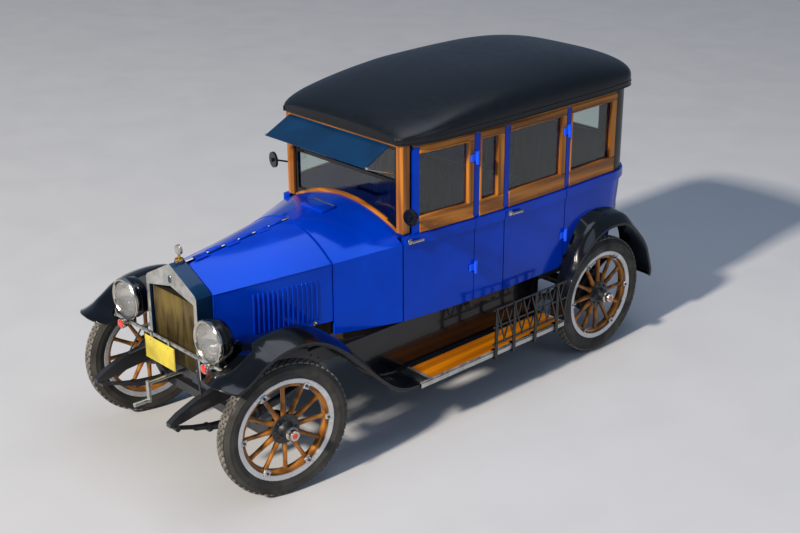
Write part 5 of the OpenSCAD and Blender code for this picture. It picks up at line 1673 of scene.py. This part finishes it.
@dataclass
class Boards:
    """Running boards with varnished planks and aluminium edges, and the luggage rack."""

    def build(self) -> None:
        """Makes both boards and the rack."""
        deliver("board_frames", Work().copy_of("running_boards"), "car_body", (BLACK,), 35, 3.0, ("running_boards",),
                weld=False)
        for side, label in SIDES:
            plank = Work()
            for k in range(4):
                x0 = 0.592 + k * 0.0475
                plank.block((min(side * x0, side * (x0 + 0.0468)), -0.290, 0.366),
                            (max(side * x0, side * (x0 + 0.0468)), 0.941, 0.3725), bevel=0.0015)
            deliver(f"board_planks_{label}", plank, "car_body", (WOOD_STEP,), 35)
            edge = Work()
            for x0, x1, y0, y1 in ((0.782, 0.7985, -0.392, 0.957), (0.576, 0.7985, 0.941, 0.957),
                                   (0.576, 0.784, -0.306, -0.290)):
                edge.block((min(side * x0, side * x1), y0, 0.362), (max(side * x0, side * x1), y1, 0.3755), bevel=0.003)
            edge.block((min(side * 0.7955, side * 0.7985), -0.392, 0.336),
                       (max(side * 0.7955, side * 0.7985), 0.957, 0.374),
                       bevel=0.001)
            deliver(f"board_edging_{label}", edge, "car_body", (ALUMINIUM,), 35)
            ribs = [((side * mix(0.590, 0.780, k / 12), -0.3485, 0.3675), (0, 0, 1), (0, 1, 0)) for k in range(13)]
            rib = Work().block((-0.003, -0.036, 0.0), (0.003, 0.036, 0.004), bevel=0.0)
            RUBBER_RIBS.set_out(f"board_ribs_{label}", "car_body", rib, ribs)
            screws = [((side * 0.7895, -0.37 + 0.098 * k, 0.3755), (0, 0, 1), (0, 1, 0)) for k in range(15)]
            SCREWS.set_out(f"board_screws_{label}", "car_body", dome(0.0035, 0.0012), screws)
        deliver("luggage_rack_bars", Work().copy_of("luggage_rack"), "car_body", (BLACK,), 35, 1.0, ("luggage_rack",),
                weld=False)
        rivets = []
        for i in range(8):
            for z, shift in ((0.430, 0.006), (0.544, 0.048), (0.658, 0.090)):
                rivets.append(((0.8110, 0.262 + 0.084 * i + shift, z), (1, 0, 0), (0, 0, 1)))
        BLACK_RIVETS.set_out("luggage_rack_rivets", "car_body", dome(0.0055, 0.003), rivets)


@dataclass
class RunningGear:
    """Frame, springs, axles, engine, shaft, pipe and tank."""

    def build(self) -> None:
        """Makes the undercarriage pieces and their fastenings."""
        for node, finish, ease in (
            ("chassis_frame", CHASSIS, 3.0), ("leaf_springs", CHASSIS, 1.0), ("front_axle", CHASSIS, 3.0),
            ("rear_axle", CHASSIS, 0.0), ("engine_block", IRON, 6.0), ("driveline", CHASSIS, 3.0),
            ("exhaust", PIPE, 0.0),
            ("fuel_tank", BLACK, 3.0), ("starting_crank", DULL_NICKEL, 1.5),
        ):
            deliver(f"{node}_part", Work().copy_of(node), "car_body", (finish,), 35, ease, (node,), weld=False)
        for body in ("knuckle_left", "knuckle_right", "tie_rod"):
            deliver(f"{body}_forging", Work().copy_of(body), body, (CHASSIS,), 35, 1.5, (body,), weld=False)
        clips = Work()
        nuts = []
        for side, _ in SIDES:
            for x, yc, zc, span in ((0.380, -1.425, 0.384, 0.060), (0.442, 1.352, 0.372, 0.080)):
                for dy in (-span, span):
                    clips.block((side * x - 0.031, yc + dy - 0.008, zc - 0.044),
                                (side * x + 0.031, yc + dy + 0.008, zc + 0.008),
                                bevel=0.003)
                    for dx in (-0.022, 0.022):
                        nuts.append(((side * x + dx, yc + dy, zc + 0.008), (0, 0, 1), (1, 0, 0)))
                for dy in (-0.28, 0.28):
                    rise = 0.098 * (dy / 0.49) ** 2
                    clips.block((side * x - 0.029, yc + dy - 0.012, zc + rise - 0.034),
                                (side * x + 0.029, yc + dy + 0.012,
                                zc + rise + 0.004), bevel=0.002)
        deliver("spring_clips", clips, "car_body", (CHASSIS,), 35)
        CHASSIS_NUTS.set_out("spring_nuts", "car_body", hexagon(0.009, 0.008), nuts)
        rivets = []
        for side, _ in SIDES:
            for k in range(14):
                y = -1.60 + 0.055 * k
                rivets.append(((side * 0.4005, y, 0.575 if k % 2 else 0.610), (side, 0, 0), (0, 0, 1)))
        BLACK_RIVETS.set_out("frame_rivets", "car_body", dome(0.007, 0.0045), rivets)
        self._engine()
        self._tail()

    def _engine(self) -> None:
        """Dresses the engine with its head, a pipe running forward, the plugs and their lead."""
        work = Work()
        work.part(0).block((-0.105, -1.440, 1.080), (0.105, -0.900, 1.112), bevel=0.012)
        work.part(0).tube([(0.0, -1.470, 1.105), (0.0, -1.505, 1.118), (0.0, -1.560, 1.120)], 0.028, 16)
        for k in range(6):
            y = mix(-1.390, -0.950, k / 5)
            spot = Matrix.Translation((0.040, y, 1.110))
            work.part(1).lathe([(0.0, 0.0), (0.014, 0.0), (0.014, 0.012), (0.0085, 0.014), (0.008, 0.036),
                                (0.003, 0.040),
                                (0.003, 0.050), (0.0, 0.050)], spot, 12)
        work.part(2).tube([(0.040, mix(-1.390, -0.950, k / 5), 1.160 + (0.004 if k % 2 else 0)) for k in range(6)],
                          0.004, 8)
        deliver("engine_head", work, "car_body", (IRON, DIAL, BLACK), 35)
        bolts = [((x, mix(-1.425, -0.915, k / 7), 1.112), (0, 0, 1), (1, 0, 0)) for k in range(8)
                 for x in (-0.09, 0.09)]
        CHASSIS_NUTS.set_out("engine_head_nuts", "car_body", hexagon(0.009, 0.008), bolts)

    def _tail(self) -> None:
        """Adds the tail lamp and its bracket."""
        at = Matrix.Translation((0.455, 1.862, 0.610)) @ Matrix.Rotation(-math.pi / 2, 4, "X")
        lamp = Work().part(0).lathe([(0.0, -0.030), (0.026, -0.026), (0.033, -0.010), (0.034, 0.014), (0.030, 0.018),
                                     (0.027, 0.014), (0.0, 0.014)], at, 28)
        lamp.part(1).lathe([(0.0, 0.012), (0.0265, 0.013), (0.020, 0.022), (0.0, 0.026)], at, 24)
        lamp.part(0).tube([(0.442, 1.825, 0.600), (0.450, 1.842, 0.608)], 0.009, 8)
        deliver("tail_lamp", lamp, "car_body", (BLACK, RED_GLOW_GLASS), 36)


def set_up_repeaters() -> None:
    """Builds one repeating tree for each finish of small parts."""
    global NUTS, TREADS, LOUVRES, BLUE_RIVETS, FINS, SCREWS, RUBBER_RIBS, BLACK_RIVETS, CHASSIS_NUTS
    NUTS, TREADS, LOUVRES, BLUE_RIVETS = Repeater(CHASSIS), Repeater(TREAD), Repeater(BLUE), Repeater(BLUE)
    FINS, SCREWS, RUBBER_RIBS = Repeater(BRASS_FIN), Repeater(BRASS), Repeater(RUBBER)
    BLACK_RIVETS, CHASSIS_NUTS = Repeater(BLACK), Repeater(CHASSIS)


def main() -> None:
    """Builds the car round the frame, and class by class."""
    logging.basicConfig(level=logging.INFO, format="%(name)s: %(message)s")
    CAR.update(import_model())
    set_up_repeaters()
    Studio().build()
    for side, _ in SIDES:
        for end in ("front", "rear"):
            RoadWheel(end, side).build()
    SpareWheel().build()
    WingSet().build()
    Bonnet().build()
    Radiator().build()
    Lamps().build()
    Coachwork().build()
    Windscreen().build()
    Top().build()
    Interior().build()
    Boards().build()
    RunningGear().build()


if __name__ == "__main__":
    main()
